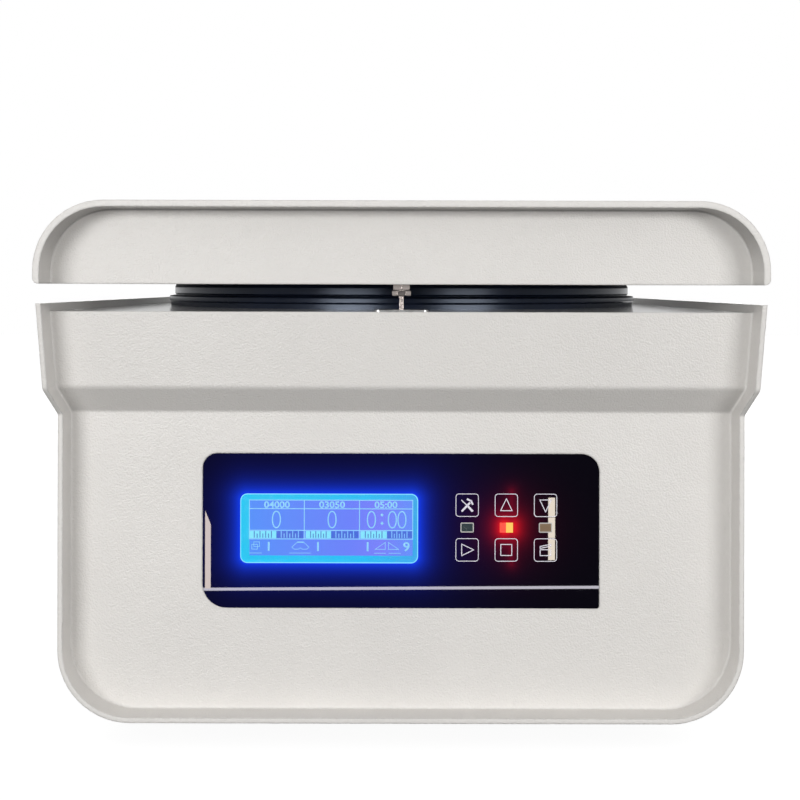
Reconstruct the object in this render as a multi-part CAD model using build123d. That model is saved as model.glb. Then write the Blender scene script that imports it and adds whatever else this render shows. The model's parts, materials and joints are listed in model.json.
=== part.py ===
from build123d import *
import os
from math import cos, pi, radians, sin, tan

# Benchtop centrifuge with a swing-out rotor, millimetres.
# +Z is up and the control panel faces -Y.
# The origin is at the middle of the bounding box, on the surface the feet stand on.

os.makedirs("parts", exist_ok=True)

# Overall envelope
depth = 550.0
front_y = -depth / 2
hinge_axis_y = depth / 2 - 6.5
rear_y = hinge_axis_y + 4.0
fit_gap = 0.3
running_gap = 0.05

# Cabinet: one moulding that wraps the sides and the underside, with a recessed front wall
foot_height = 14.0
cabinet_wall = 3.0
cabinet_top_z = 267.4
collar_bottom_z = 216.0
waist_z = 200.5
collar_top_half = 218.0
collar_draft = 3.3
waist_step = 7.4
collar_edge_radius = 8.0
waist_edge_radius = 4.0
base_corner_radius = 44.0
front_recess = 19.0
front_cove = 1.2
rear_recess = 8.0
ledge_width = 8.0
ledge_thickness = 4.0

# Deck, the flat top of the cabinet around the chamber
deck_z = 262.4
deck_thickness = 2.5
deck_under_z = deck_z - deck_thickness

# Chamber, as wide as the cabinet lets it be
chamber_y = 13.0
chamber_margin = 38.0
bowl_radius = collar_top_half - chamber_margin
bowl_wall = 1.5
bowl_floor_bend = 12.0
bowl_flange_radius = bowl_radius + 4.2
bowl_flange_thickness = 1.5
bowl_mouth_radius = 32.0
deck_hole_radius = bowl_radius + 2.5
armour_inner_radius = bowl_radius + 4.5
armour_wall = 3.0
armour_overhang = 2.0

# Chamber gasket, a rubber ring with a lip and a bulb
gasket_inner_radius = bowl_radius - 3.0
gasket_base_radius = bowl_radius + 5.8
gasket_lip_radius = bowl_radius + 6.9
gasket_lip_z = 268.3
gasket_groove_radius = bowl_radius + 1.0
gasket_groove_z = 271.1
gasket_bulb_radius = bowl_radius + 2.6
gasket_shoulder = 4.6

# Lid
lid_bottom_z = 279.2
lid_top_z = 329.3
lid_half = 220.0
lid_wall = 4.0
lid_corner_radius = 42.0
lid_foot_round = 3.4
lid_front_recess = 25.0
lid_front_wall = 3.0
lid_cove = 1.2
liner_z = 282.0
liner_thickness = 1.5
liner_flange_height = 5.0
lid_boss_radius = 6.0

# Hinges
hinge_spread = 130.0
hinge_half_length = 30.0
hinge_leaf_half_length = 14.8
hinge_knuckle_radius = 6.2
hinge_pin_radius = 3.0
hinge_leaf_thickness = 3.0
hinge_leaf_reach = 42.0
hinge_axis_z = (deck_z + liner_z) / 2

# Latch under the deck
latch_y = front_y + 53.0
latch_slot_width = 13.0
latch_slot_length = 20.0
slot_plate_width = 34.0
slot_plate_length = 30.0
slot_plate_thickness = 0.8
striker_blade_thickness = 2.8
striker_blade_width = 13.0
striker_blade_tip_z = 236.0
striker_stud_radius = 3.0
striker_stud_bottom_z = 271.9
striker_stud_top_z = 290.5
striker_nut_across = 10.5
striker_lower_nut_height = 3.5
striker_nut_height = 5.0
striker_nut_gap = 0.2
striker_window = 8.6
latch_bolt_radius = 3.0
latch_bolt_z = 246.5
latch_travel = 12.0
latch_sheet = 2.0
latch_bracket_half = 15.0
latch_cheek_half = 12.0
latch_cheek_x = 10.0
latch_keeper_x = 6.0
latch_cheek_bottom_z = 234.0
solenoid_length = 38.0
solenoid_side = 22.0
plunger_radius = 5.0
lid_switch_size = (19.8, 6.4, 10.0)

# Control panel on the recessed front face
panel_half_width = 122.4
panel_bottom_z = 79.3
panel_top_z = 174.7
panel_thickness = 2.5
panel_proud = 1.0
panel_corner_top_left = 9.0
panel_corner_top_right = 11.0
panel_corner_bottom_left = 15.0
panel_corner_bottom_right = 1.5
panel_window_left = -108.0
panel_window_right = 103.0
panel_window_bottom = 98.0
panel_window_top = 160.0
display_left = -99.2
display_width = 109.8
display_middle_z = 128.45
display_height = 42.9
display_corner_radius = 4.3
lcd_border = 4.0
key_size = 14.5
key_corner_radius = 2.1
key_first_x = 40.9
key_pitch_x = 24.2
key_upper_z = 143.0
key_pitch_z = 27.6
key_travel = 0.5
key_gap = 0.25
key_skirt = 0.9
key_skirt_depth = 1.6
led_width = 8.2
led_height = 6.1
board_thickness = 1.6
board_half_width = 118.0
board_half_height = 41.0
board_boss_x = 114.0
board_boss_z = 37.0
board_boss_radius = 3.5
board_setback = 9.5
board_chip_height = 2.4
board_chips = ((-60.0, 8.0, 22.0, 22.0), (-10.0, -12.0, 14.0, 9.0), (40.0, 10.0, 30.0, 9.0))
board_plug = (70.0, 100.0, -30.0, -20.0)
board_plug_height = 8.0
tact_switch_side = 6.0

# Motor, upright under the chamber on four rubber dampers
tray_thickness = 2.0
tray_side_gap = 3.3
tray_front_gap = 17.3
tray_rear_gap = 23.0
damper_height = 18.0
damper_radius = 11.0
damper_spread = 62.0
damper_bolt_radius = 3.0
mount_plate_half = 80.0
mount_plate_thickness = 4.0
motor_radius = 58.0
motor_wall = 4.0
motor_cap_thickness = 6.0
motor_headroom = 13.0
motor_boss_radius = 20.0
motor_boss_height = 8.0
bearing_outer_radius = 17.5
bearing_width = 11.0
shaft_radius = 7.5
core_radius = 34.0
core_end_gap = 8.5
air_gap = 0.6
winding_height = 6.0

# Swing-out rotor and its four buckets
bucket_count = 4
pivot_radius = 90.5
pivot_z = 226.0
rotor_half_height = 13.0
rotor_radius = 112.0
rotor_notch_half = 31.0
rotor_notch_inner = 50.0
trunnion_radius = 5.0
trunnion_length = 5.0
shaft_collar_radius = 12.0
shaft_stud_radius = 5.0
rotor_nut_radius = 17.0
rotor_nut_height = 8.0
rotor_knob_radius = 12.0
rotor_knob_height = 14.0
bucket_radius = 25.0
bucket_wall = 1.8
bucket_end_gap = 9.5
bucket_floor_gap = 12.0
bucket_rise = 24.0
bucket_bottom_round = 8.0
bucket_ear_half_width = 9.0
bucket_ear_below = 7.0
bucket_ear_above = 10.0
bucket_ear_gap = 0.7

# Drive electronics beside the motor
heatsink_x = 112.0
heatsink_width = 40.0
heatsink_height = 60.0
heatsink_half_length = 70.0
heatsink_back = 6.0
heatsink_fin = 2.4
heatsink_pitch = 9.0
drive_board_inset = 4.0
capacitor_radius = 9.0
capacitor_length = 14.0
capacitor_height = 30.0
capacitor_y = (-48.0, -24.0)
drive_chips = ((10.0, 26.0, 18.0, 40.0, 9.0), (40.0, 58.0, 12.0, 44.0, 8.0))

# Rear fittings
rear_panel_thickness = 1.5
fan_x = 110.0
fan_z = 95.0
fan_side = 80.0
fan_depth = 25.0
fan_bore_radius = 38.0
fan_tip_radius = 36.5
fan_hub_radius = 17.0
fan_axle_radius = 2.0
fan_blade_count = 7
fan_blade_thickness = 1.6
fan_blade_pitch_angle = 38.0
fan_carrier_thickness = 3.0
fan_end_gap = 1.0
fan_hub_length = 18.0
guard_ring_count = 5
guard_ring_width = 3.6
guard_ring_pitch = 6.0
guard_spoke_width = 4.0
inlet_x = -120.0
inlet_z = 62.0
inlet_flange_half_width = 25.0
inlet_flange_half_height = 14.5
inlet_flange_thickness = 2.5
inlet_body_half_width = 13.7
inlet_body_half_height = 10.0
inlet_cavity_half_width = 12.0
inlet_cavity_half_height = 8.3
inlet_cavity_depth = 19.0
inlet_corner_cut = 4.5
inlet_body_depth = 24.0
pin_spread = 7.0
pin_offset = 2.0
switch_x = -72.0
switch_half_width = 11.0
switch_half_height = 15.0
switch_flange_thickness = 2.0
switch_cavity_half_width = 8.0
switch_cavity_half_height = 12.0
switch_body_depth = 20.0
rocker_half_height = 11.0
rocker_tilt = 8.0
rocker_axle_radius = 1.5
rocker_axle_depth = 2.5
fuse_x = -96.0
fuse_z = 104.0
fuse_cap_radius = 7.5
fuse_body_radius = 6.0

# Feet, screws and where they go
foot_front_inset = 83.0
foot_rear_inset = 67.5
foot_top_radius = 18.0
foot_bottom_radius = 15.5
foot_well = 6.0
screw_radius = 2.0
screw_head_radius = 3.8
screw_head_height = 2.4
deck_screw_front_inset = 70.0
deck_screw_rear_inset = 47.5
rear_screw_collar_z = 236.0
rear_screw_waist_z = 130.0
rear_screw_floor_x = 150.0
liner_screw_side_inset = 50.0
liner_screw_middle_x = 70.0
liner_screw_corner_inset = 60.0
liner_screw_middle_inset = 45.0
liner_screw_rear_inset = 47.5
liner_screw_grip = 11.0
hinge_screw_inset = 10.0
beyond = 60.0

# Heights and places worked out from the sizes above
collar_bottom_half = collar_top_half - collar_draft
waist_half = collar_bottom_half - waist_step
bucket_drop = bowl_radius - pivot_radius - bucket_end_gap
bowl_floor_z = pivot_z - bucket_drop - bucket_floor_gap
bowl_seam_z = bowl_floor_z + bowl_floor_bend
armour_bottom_z = bowl_floor_z - armour_overhang
cabinet_floor_z = foot_height + cabinet_wall
tray_z = cabinet_floor_z
tray_top_z = tray_z + tray_thickness
mount_plate_z = tray_top_z + damper_height
motor_bottom_z = mount_plate_z + mount_plate_thickness
motor_body_z = motor_bottom_z + motor_cap_thickness
motor_top_z = bowl_floor_z - motor_headroom - motor_boss_height
motor_body_top_z = motor_top_z - motor_cap_thickness
motor_body_height = motor_body_top_z - motor_body_z
core_height = motor_body_height - 2 * core_end_gap
core_z = motor_body_z + core_end_gap
rotor_bottom_z = pivot_z - rotor_half_height
rotor_top_z = pivot_z + rotor_half_height
bowl_flange_top_z = deck_z + bowl_flange_thickness
gasket_top_z = liner_z - fit_gap
liner_top_z = liner_z + liner_thickness
lid_inner_top_z = lid_top_z - lid_wall
liner_half = lid_half - lid_wall - fit_gap
upper_nut_z = striker_stud_bottom_z + striker_lower_nut_height + striker_nut_gap
washer_height = liner_z - upper_nut_z - striker_nut_height
collar_slope = collar_draft / (cabinet_top_z - collar_bottom_z)


def collar_half_at(z):
    """Half width of the cabinet's collar at a height."""
    return collar_bottom_half + collar_slope * (z - collar_bottom_z)


def front_profile_y(z):
    """Y of the cabinet's front rim at a height on the collar."""
    return front_y + collar_slope * (cabinet_top_z - z)


# Front wall and what stands on it
front_face_y = front_y + collar_draft + waist_step + front_recess
wall_inner_y = front_face_y + cabinet_wall
panel_front_y = front_face_y - panel_proud
panel_back_y = panel_front_y + panel_thickness
board_front_y = front_face_y + board_setback
board_middle_z = (panel_bottom_z + panel_top_z) / 2
panel_corners = [
    (-panel_half_width, panel_bottom_z, panel_corner_bottom_left),
    (panel_half_width, panel_bottom_z, panel_corner_bottom_right),
    (panel_half_width, panel_top_z, panel_corner_top_right),
    (-panel_half_width, panel_top_z, panel_corner_top_left),
]
board_boss_places = [(sx * board_boss_x, board_middle_z + sz * board_boss_z)
                     for sx in (-1, 1) for sz in (-1, 1)]
display_middle_x = display_left + display_width / 2
key_places = [(key_first_x + column * key_pitch_x, key_upper_z - row * key_pitch_z)
              for row in (0, 1) for column in (0, 1, 2)]
key_names = ["key_set", "key_up", "key_down", "key_start", "key_stop", "key_open"]
led_z = key_upper_z - key_pitch_z / 2
led_places = [(key_first_x + column * key_pitch_x, led_z) for column in (0, 1, 2)]

# Rear panel, fan and switch
rear_panel_outer_y = rear_y - rear_recess
rear_panel_inner_y = rear_panel_outer_y - rear_panel_thickness
fan_back_y = rear_panel_inner_y - fan_depth
fan_hub_y = fan_back_y + fan_carrier_thickness + fan_end_gap
rocker_axis_y = rear_panel_outer_y - rocker_axle_depth

# Lid walls
lid_front_face_y = front_y + lid_front_recess
lid_front_inner_y = lid_front_face_y + lid_front_wall
lid_rear_inner_y = rear_panel_outer_y - lid_front_wall

# Hinges
hinge_lower_top_z = deck_z + hinge_leaf_thickness
hinge_upper_z = liner_z - hinge_leaf_thickness
hinge_front_y = hinge_axis_y - hinge_leaf_reach

# Fastener and foot places
deck_half = collar_half_at(deck_under_z) - cabinet_wall - fit_gap
deck_front_y = front_profile_y(deck_under_z) + front_recess + cabinet_wall + fit_gap
deck_screw_y = (front_y + deck_screw_front_inset, chamber_y, rear_y - deck_screw_rear_inset)
deck_screw_places = [(side * (deck_half - ledge_width / 2), y)
                     for side in (-1, 1) for y in deck_screw_y]
lip_middle = cabinet_wall + ledge_width / 2
rear_screw_x_z = (
    (collar_half_at(rear_screw_collar_z) - lip_middle, rear_screw_collar_z),
    (waist_half - lip_middle, rear_screw_waist_z),
    (rear_screw_floor_x, foot_height + lip_middle),
)
rear_screw_places = [(side * x, z) for side in (-1, 1) for x, z in rear_screw_x_z]
liner_screw_x_y = (
    (lid_half - liner_screw_side_inset, front_y + liner_screw_corner_inset),
    (liner_screw_middle_x, front_y + liner_screw_middle_inset),
    (lid_half - liner_screw_side_inset, rear_y - liner_screw_rear_inset),
)
liner_screw_places = [(side * x, y) for side in (-1, 1) for x, y in liner_screw_x_y]
hinge_screw_places = [(side * hinge_spread + offset, hinge_front_y + hinge_screw_inset)
                      for side in (-1, 1) for offset in (-hinge_screw_inset,
                                                         hinge_screw_inset)]
tray_half_width = waist_half - base_corner_radius - tray_side_gap
tray_front_y = wall_inner_y + tray_front_gap
tray_rear_y = rear_panel_inner_y - tray_rear_gap
foot_x = tray_half_width - foot_top_radius - fit_gap
foot_places = [(side * foot_x, y) for side in (-1, 1)
               for y in (front_y + foot_front_inset, rear_y - foot_rear_inset)]
damper_places = [(sx * damper_spread, chamber_y + sy * damper_spread)
                 for sx in (-1, 1) for sy in (-1, 1)]


def block(x0, x1, y0, y1, z0, z1):
    """Box between two opposite corners."""
    middle = Pos((x0 + x1) / 2, (y0 + y1) / 2, (z0 + z1) / 2)
    return middle * Box(abs(x1 - x0), abs(y1 - y0), abs(z1 - z0))


def rounded(corners):
    """Flat face through corners given as (u, v, radius)."""
    starts, middles, ends = [], [], []
    count = len(corners)
    for index, (u, v, radius) in enumerate(corners):
        corner = Vector(u, v)
        before = corners[index - 1]
        after = corners[(index + 1) % count]
        back = (Vector(before[0], before[1]) - corner).normalized()
        ahead = (Vector(after[0], after[1]) - corner).normalized()
        half_angle = radians(back.get_angle(ahead)) / 2
        bisector = (back + ahead).normalized() if radius else Vector(0, 0)
        starts.append(corner + back * (radius / tan(half_angle)))
        ends.append(corner + ahead * (radius / tan(half_angle)))
        middles.append(corner + bisector * (radius / sin(half_angle) - radius))
    edges = []
    for index, corner in enumerate(corners):
        if corner[2]:
            edges.append(ThreePointArc(starts[index], middles[index], ends[index]))
        edges.append(Line(ends[index], starts[(index + 1) % count]))
    return make_face(edges)


def along_x(face, x0, x1):
    """Solid from a face drawn in (Y, Z), between two X places."""
    return extrude(Plane.YZ.offset(x0) * face, amount=x1 - x0)


def along_y(face, y0, y1):
    """Solid from a face drawn in (X, Z), between two Y places."""
    return extrude(Plane.XZ.offset(-y0) * face, amount=-(y1 - y0))


def along_z(face, z0, z1):
    """Solid from a face drawn in (X, Y), between two heights."""
    return extrude(Plane.XY.offset(z0) * face, amount=z1 - z0)


def turned(corners, x=0.0, y=chamber_y):
    """Solid turned about an upright axis, from corners given as (radius, Z, fillet)."""
    return Pos(x, y, 0) * revolve(Plane.XZ * rounded(corners), Axis.Z)


def rod_x(radius, x0, x1, y, z):
    """Round rod along X."""
    return along_x(Pos(y, z) * Circle(radius), x0, x1)


def rod_y(radius, y0, y1, x, z):
    """Round rod along Y."""
    return along_y(Pos(x, z) * Circle(radius), y0, y1)


def rod_z(radius, z0, z1, x=0.0, y=chamber_y):
    """Round rod along Z."""
    return along_z(Pos(x, y) * Circle(radius), z0, z1)


def ring_z(outer, inner, z0, z1, x=0.0, y=chamber_y):
    """Upright ring."""
    return rod_z(outer, z0, z1, x, y) - rod_z(inner, z0, z1, x, y)


def save(name, *solids):
    """Write the solids of one node to its STEP file."""
    shape = solids[0] if len(solids) == 1 else Compound(children=list(solids))
    export_step(shape, f"parts/{name}.step")


# Cabinet

def cabinet_section(inset, top):
    """Front outline of the cabinet, drawn in from its outer skin."""
    right = [
        (collar_half_at(top) - inset, top, 0),
        (collar_bottom_half - inset, collar_bottom_z, collar_edge_radius),
        (waist_half - inset, waist_z, waist_edge_radius),
        (waist_half - inset, foot_height + inset, base_corner_radius - inset),
    ]
    left = [(-u, v, radius) for u, v, radius in reversed(right)]
    return rounded(right + left)


def behind_front(shift, top, back):
    """Side outline of all that lies behind the front rim moved back by shift."""
    base_y = front_y + collar_draft + waist_step + shift
    return rounded([
        (front_profile_y(top) + shift, top, 0),
        (front_y + collar_draft + shift, collar_bottom_z, collar_edge_radius),
        (base_y, waist_z, waist_edge_radius),
        (base_y, -beyond, 0),
        (back, -beyond, 0),
        (back, top, 0),
    ])


def cabinet_shell():
    """Wrap of sides and underside with the recessed front wall, all one moulding."""
    tall = cabinet_top_z + beyond
    skin = along_y(cabinet_section(0, cabinet_top_z), front_y - beyond, rear_y)
    skin = skin & along_x(behind_front(0, cabinet_top_z, rear_y), -beyond * 4, beyond * 4)
    recess = along_y(cabinet_section(cabinet_wall, tall), front_y - beyond, rear_y)
    recess = recess - along_x(behind_front(front_recess, tall + beyond, rear_y + beyond),
                              -beyond * 4, beyond * 4)
    recess_floor = [edge for edge in recess.edges()
                    if edge.center().Y > front_y + front_recess - 1
                    and edge.center().Z < tall - 1 and not is_on_front_crease(edge)]
    recess = fillet(recess_floor, front_cove)
    cavity = along_y(cabinet_section(cabinet_wall, tall), front_y - beyond, rear_y + beyond)
    cavity = cavity & along_x(
        behind_front(front_recess + cabinet_wall, tall + beyond, rear_y + beyond),
        -beyond * 4, beyond * 4)
    mouth = block(-lid_half, lid_half, front_y - beyond, rear_y + beyond, deck_z, tall)
    mouth = mouth & along_y(cabinet_section(cabinet_wall, tall), front_y - beyond,
                            rear_y + beyond)
    shell = skin - recess - cavity - mouth
    shell = shell + deck_ledges() + rear_lip() + board_bosses() - panel_seat()
    return shell - cabinet_screw_holes()


def is_on_front_crease(edge):
    """True for an edge of the front wall that only marks a bend of its face."""
    size = edge.bounding_box().size
    return size.X > collar_bottom_half and size.Y < 1 and size.Z < 1 \
        and edge.center().Z > waist_z - base_corner_radius


def deck_ledges():
    """Ledges that the deck plate lies on, along both sides and the front."""
    inner = collar_half_at(deck_under_z) - cabinet_wall
    wall_y = front_profile_y(deck_under_z) + front_recess + cabinet_wall
    low = deck_under_z - ledge_thickness
    ledges = [
        block(side * (inner - ledge_width), side * (inner + 1), wall_y - 1,
              rear_panel_inner_y, low, deck_under_z)
        for side in (-1, 1)
    ]
    ledges.append(block(-inner, inner, wall_y - 1, wall_y + ledge_width, low, deck_under_z))
    return ledges


def rear_lip():
    """Inner flange at the back that the rear panel is screwed to."""
    outer = cabinet_section(cabinet_wall - 0.5, deck_under_z)
    inner = cabinet_section(cabinet_wall + ledge_width, deck_under_z + beyond)
    start = rear_panel_inner_y - ledge_thickness
    return along_y(outer, start, rear_panel_inner_y) - along_y(
        inner, start, rear_panel_inner_y)


def board_bosses():
    """Bosses behind the front wall that carry the control board."""
    return [rod_y(board_boss_radius, wall_inner_y - 1, board_front_y, x, z)
            for x, z in board_boss_places]


def panel_seat():
    """Shallow seat for the control panel and the window behind it."""
    seat = along_y(rounded(panel_corners), front_y, front_face_y - panel_proud
                   + panel_thickness)
    window = block(panel_window_left, panel_window_right, front_y, wall_inner_y + 1,
                   panel_window_bottom, panel_window_top)
    return seat + window


def cabinet_screw_holes():
    """Holes for the screws of the deck, the rear panel and the feet."""
    holes = [rod_z(screw_radius, deck_under_z - ledge_thickness, deck_under_z, x, y)
             for x, y in deck_screw_places]
    holes += [rod_y(screw_radius, rear_panel_inner_y - ledge_thickness, rear_panel_inner_y, x, z)
              for x, z in rear_screw_places]
    holes += [rod_z(screw_radius, foot_height, cabinet_floor_z, x, y) for x, y in foot_places]
    return holes


save("cabinet_shell", cabinet_shell())

# Deck

def countersunk(x, y, top, length):
    """Flat-headed screw, flush with the face it is driven into."""
    return turned([(0, top, 0), (screw_head_radius, top, 0),
                   (screw_radius, top - screw_head_height + 0.4, 0),
                   (screw_radius, top - length, 0), (0, top - length, 0)], x, y)


def deck_plate():
    """Steel plate around the chamber mouth."""
    plate = block(-deck_half, deck_half, deck_front_y, rear_panel_outer_y, deck_under_z,
                  deck_z)
    plate = plate - rod_z(deck_hole_radius, deck_under_z, deck_z)
    slot = SlotOverall(latch_slot_length + 2, latch_slot_width + 2, rotation=90)
    plate = plate - along_z(Pos(0, latch_y) * slot, deck_under_z, deck_z)
    for x, y in deck_screw_places:
        plate = plate - countersunk(x, y, deck_z, deck_thickness)
    for x, y in hinge_screw_places:
        plate = plate - rod_z(screw_radius, deck_under_z, deck_z, x, y)
    return plate


save("deck_plate", deck_plate())

# Rear panel and its fittings

def inlet_outline():
    """Mouth of the mains inlet, with its two cut corners."""
    width, height, cut = inlet_cavity_half_width, inlet_cavity_half_height, inlet_corner_cut
    return rounded([
        (-width, -height, 0.6), (width, -height, 0.6), (width, height - cut, 0.6),
        (width - cut, height, 0.6), (cut - width, height, 0.6), (-width, height - cut, 0.6),
    ])


def fan_guard_slots():
    """Ring-shaped slots in the rear panel in front of the fan."""
    slots = []
    for index in range(guard_ring_count):
        inner = fan_bore_radius - guard_ring_width - index * guard_ring_pitch
        face = Circle(inner + guard_ring_width) - Circle(inner)
        slots.append(along_y(Pos(fan_x, fan_z) * face, rear_panel_inner_y,
                             rear_panel_outer_y))
    spokes = [Pos(fan_x, 0, fan_z) * Rot(0, angle, 0) * Box(
        2 * fan_bore_radius + 4, 2 * depth, guard_spoke_width) for angle in (45, 135)]
    guard = slots[0]
    for slot in slots[1:]:
        guard = guard + slot
    return guard - spokes[0] - spokes[1]


def rear_panel():
    """Steel back panel with its cut-outs."""
    panel = along_y(cabinet_section(cabinet_wall + fit_gap, deck_under_z),
                    rear_panel_inner_y, rear_panel_outer_y)
    inlet_hole = block(inlet_x - inlet_body_half_width - 0.2,
                       inlet_x + inlet_body_half_width + 0.2, rear_panel_inner_y,
                       rear_panel_outer_y, inlet_z - inlet_body_half_height - 0.2,
                       inlet_z + inlet_body_half_height + 0.2)
    switch_hole = block(switch_x - switch_half_width + 1.5, switch_x + switch_half_width - 1.5,
                        rear_panel_inner_y, rear_panel_outer_y,
                        inlet_z - switch_half_height + 1.5, inlet_z + switch_half_height - 1.5)
    fuse_hole = rod_y(fuse_body_radius + 0.1, rear_panel_inner_y, rear_panel_outer_y, fuse_x,
                      fuse_z)
    panel = panel - inlet_hole - switch_hole - fuse_hole - fan_guard_slots()
    for x, z in rear_screw_places:
        panel = panel - rod_y(screw_radius, rear_panel_inner_y, rear_panel_outer_y, x, z)
    return panel


def power_inlet():
    """Three-pin mains inlet: flange, body and socket."""
    flange = along_y(Pos(inlet_x, inlet_z) * RectangleRounded(
        2 * inlet_flange_half_width, 2 * inlet_flange_half_height, 6),
        rear_panel_outer_y, rear_panel_outer_y + inlet_flange_thickness)
    body = along_y(Pos(inlet_x, inlet_z) * Rectangle(
        2 * inlet_body_half_width, 2 * inlet_body_half_height),
        rear_panel_outer_y - inlet_body_depth, rear_panel_outer_y)
    mouth_y = rear_panel_outer_y + inlet_flange_thickness
    cavity = along_y(Pos(inlet_x, inlet_z) * inlet_outline(),
                     mouth_y - inlet_cavity_depth, mouth_y)
    return flange + body - cavity


def inlet_pins():
    """Blades of the mains inlet."""
    floor_y = rear_panel_outer_y + inlet_flange_thickness - inlet_cavity_depth
    places = [(-pin_spread, -pin_offset), (pin_spread, -pin_offset), (0, pin_offset)]
    pins = []
    for x, z in places:
        blade = along_y(Pos(inlet_x + x, inlet_z + z) * Rectangle(2, 4), floor_y, floor_y + 15)
        tip = blade.faces().sort_by(Axis.Y)[-1].edges()
        pins.append(chamfer(tip, 0.6))
    return pins


def switch_frame():
    """Frame and body of the power switch."""
    flange = along_y(Pos(switch_x, inlet_z) * RectangleRounded(
        2 * switch_half_width, 2 * switch_half_height, 1.5),
        rear_panel_outer_y, rear_panel_outer_y + switch_flange_thickness)
    body = along_y(Pos(switch_x, inlet_z) * Rectangle(
        2 * switch_half_width - 3.4, 2 * switch_half_height - 3.4),
        rear_panel_outer_y - switch_body_depth, rear_panel_outer_y)
    well = block(switch_x - switch_cavity_half_width, switch_x + switch_cavity_half_width,
                 rear_panel_outer_y - switch_body_depth + 6,
                 rear_panel_outer_y + switch_flange_thickness,
                 inlet_z - switch_cavity_half_height, inlet_z + switch_cavity_half_height)
    axle = rod_x(rocker_axle_radius, switch_x - switch_cavity_half_width - 1,
                 switch_x + switch_cavity_half_width + 1, rocker_axis_y, inlet_z)
    return flange + body - well + axle


def power_rocker():
    """Rocker of the power switch, resting with its upper end pressed in."""
    half = rocker_half_height
    outline = rounded([(3.0, 0, 0), (5.0, half, 0.6), (-1.0, half, 0.6), (-6.0, 4.0, 1.0),
                       (-6.0, -4.0, 1.0), (-1.0, -half, 0.6), (5.0, -half, 0.6)])
    half_width = switch_cavity_half_width - fit_gap
    rocker = along_x(outline - Circle(rocker_axle_radius + running_gap), -half_width,
                     half_width)
    return Pos(switch_x, rocker_axis_y, inlet_z) * Rot(rocker_tilt, 0, 0) * rocker


def fuse_holder():
    """Round fuse holder with a slotted cap."""
    body = rod_y(fuse_body_radius, rear_panel_outer_y - 28, rear_panel_outer_y, fuse_x, fuse_z)
    cap = rod_y(fuse_cap_radius, rear_panel_outer_y, rear_panel_outer_y + 4.5, fuse_x, fuse_z)
    cap = fillet(cap.faces().sort_by(Axis.Y)[-1].edges(), 1.0)
    slot = block(fuse_x - 5, fuse_x + 5, rear_panel_outer_y + 3, rear_panel_outer_y + 5,
                 fuse_z - 0.9, fuse_z + 0.9)
    return body + cap - slot


def fan_frame():
    """Square fan frame with its motor carrier."""
    frame = along_y(Pos(fan_x, fan_z) * RectangleRounded(fan_side, fan_side, 4),
                    fan_back_y, rear_panel_inner_y)
    frame = frame - rod_y(fan_bore_radius, fan_back_y, rear_panel_inner_y, fan_x, fan_z)
    hole = fan_side / 2 - 4.25
    for sx in (-1, 1):
        for sz in (-1, 1):
            frame = frame - rod_y(2.2, fan_back_y, rear_panel_inner_y, fan_x + sx * hole,
                                  fan_z + sz * hole)
    carrier = rod_y(fan_hub_radius, fan_back_y, fan_back_y + fan_carrier_thickness, fan_x, fan_z)
    for angle in (20, 110):
        carrier = carrier + Pos(
            fan_x, fan_back_y + fan_carrier_thickness / 2, fan_z) * Rot(0, angle, 0) * Box(
                2 * fan_bore_radius + 2, fan_carrier_thickness, 4)
    axle = rod_y(fan_axle_radius, fan_back_y, fan_hub_y + fan_hub_length - 4, fan_x, fan_z)
    return frame + carrier + axle


def fan_rotor():
    """Fan hub with its blades."""
    hub = rod_y(fan_hub_radius, fan_hub_y, fan_hub_y + fan_hub_length, 0, 0)
    span = fan_tip_radius - fan_hub_radius + 3
    blade = Pos(fan_hub_radius - 3 + span / 2, fan_hub_y + fan_hub_length / 2, 0) * Rot(
        90 - fan_blade_pitch_angle, 0, 0) * Box(span, fan_blade_thickness, fan_hub_length + 2)
    rotor = hub
    for index in range(fan_blade_count):
        rotor = rotor + Rot(0, index * 360 / fan_blade_count, 0) * blade
    sweep = rod_y(fan_tip_radius, fan_hub_y, fan_hub_y + fan_hub_length, 0, 0)
    bore = rod_y(fan_axle_radius + running_gap, fan_hub_y, fan_hub_y + fan_hub_length - 2, 0,
                 0)
    return Pos(fan_x, 0, fan_z) * ((rotor & sweep) - bore)


save("rear_panel", rear_panel())
save("power_inlet", power_inlet())
save("inlet_pins", *inlet_pins())
save("switch_frame", switch_frame())
save("power_rocker", power_rocker())
save("fuse_holder", fuse_holder())
save("fan_frame", fan_frame())
save("fan_rotor", fan_rotor())

# Base tray, feet and cabinet screws

def base_tray():
    """Steel tray on the cabinet floor that carries the motor and the drive."""
    tray = block(-tray_half_width, tray_half_width, tray_front_y, tray_rear_y, tray_z,
                 tray_top_z)
    for x, y in damper_places:
        tray = tray - rod_z(damper_bolt_radius, tray_z, tray_top_z, x, y)
    for x, y in foot_places:
        tray = tray - rod_z(screw_radius, tray_z, tray_top_z, x, y)
    return tray


def rubber_foot(x, y):
    """Foot with a well for its screw."""
    return turned([
        (screw_radius, foot_height, 0), (foot_top_radius, foot_height, 0.8),
        (foot_bottom_radius, 0, 1.5), (screw_head_radius + 1, 0, 0.5),
        (screw_head_radius + 1, foot_well, 0), (screw_radius, foot_well, 0),
    ], x, y)


def pan_screw(length):
    """Round-headed screw along +Z with its head's underside at the origin."""
    head = turned([(0, 0, 0), (screw_head_radius, 0, 0),
                   (screw_head_radius, -screw_head_height, 1.4), (0, -screw_head_height, 0)],
                  0, 0)
    shank = rod_z(screw_radius, 0, length, 0, 0)
    recess = block(-2.4, 2.4, -0.4, 0.4, -screw_head_height, 1 - screw_head_height)
    return head + shank - recess - Rot(0, 0, 90) * recess


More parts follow.
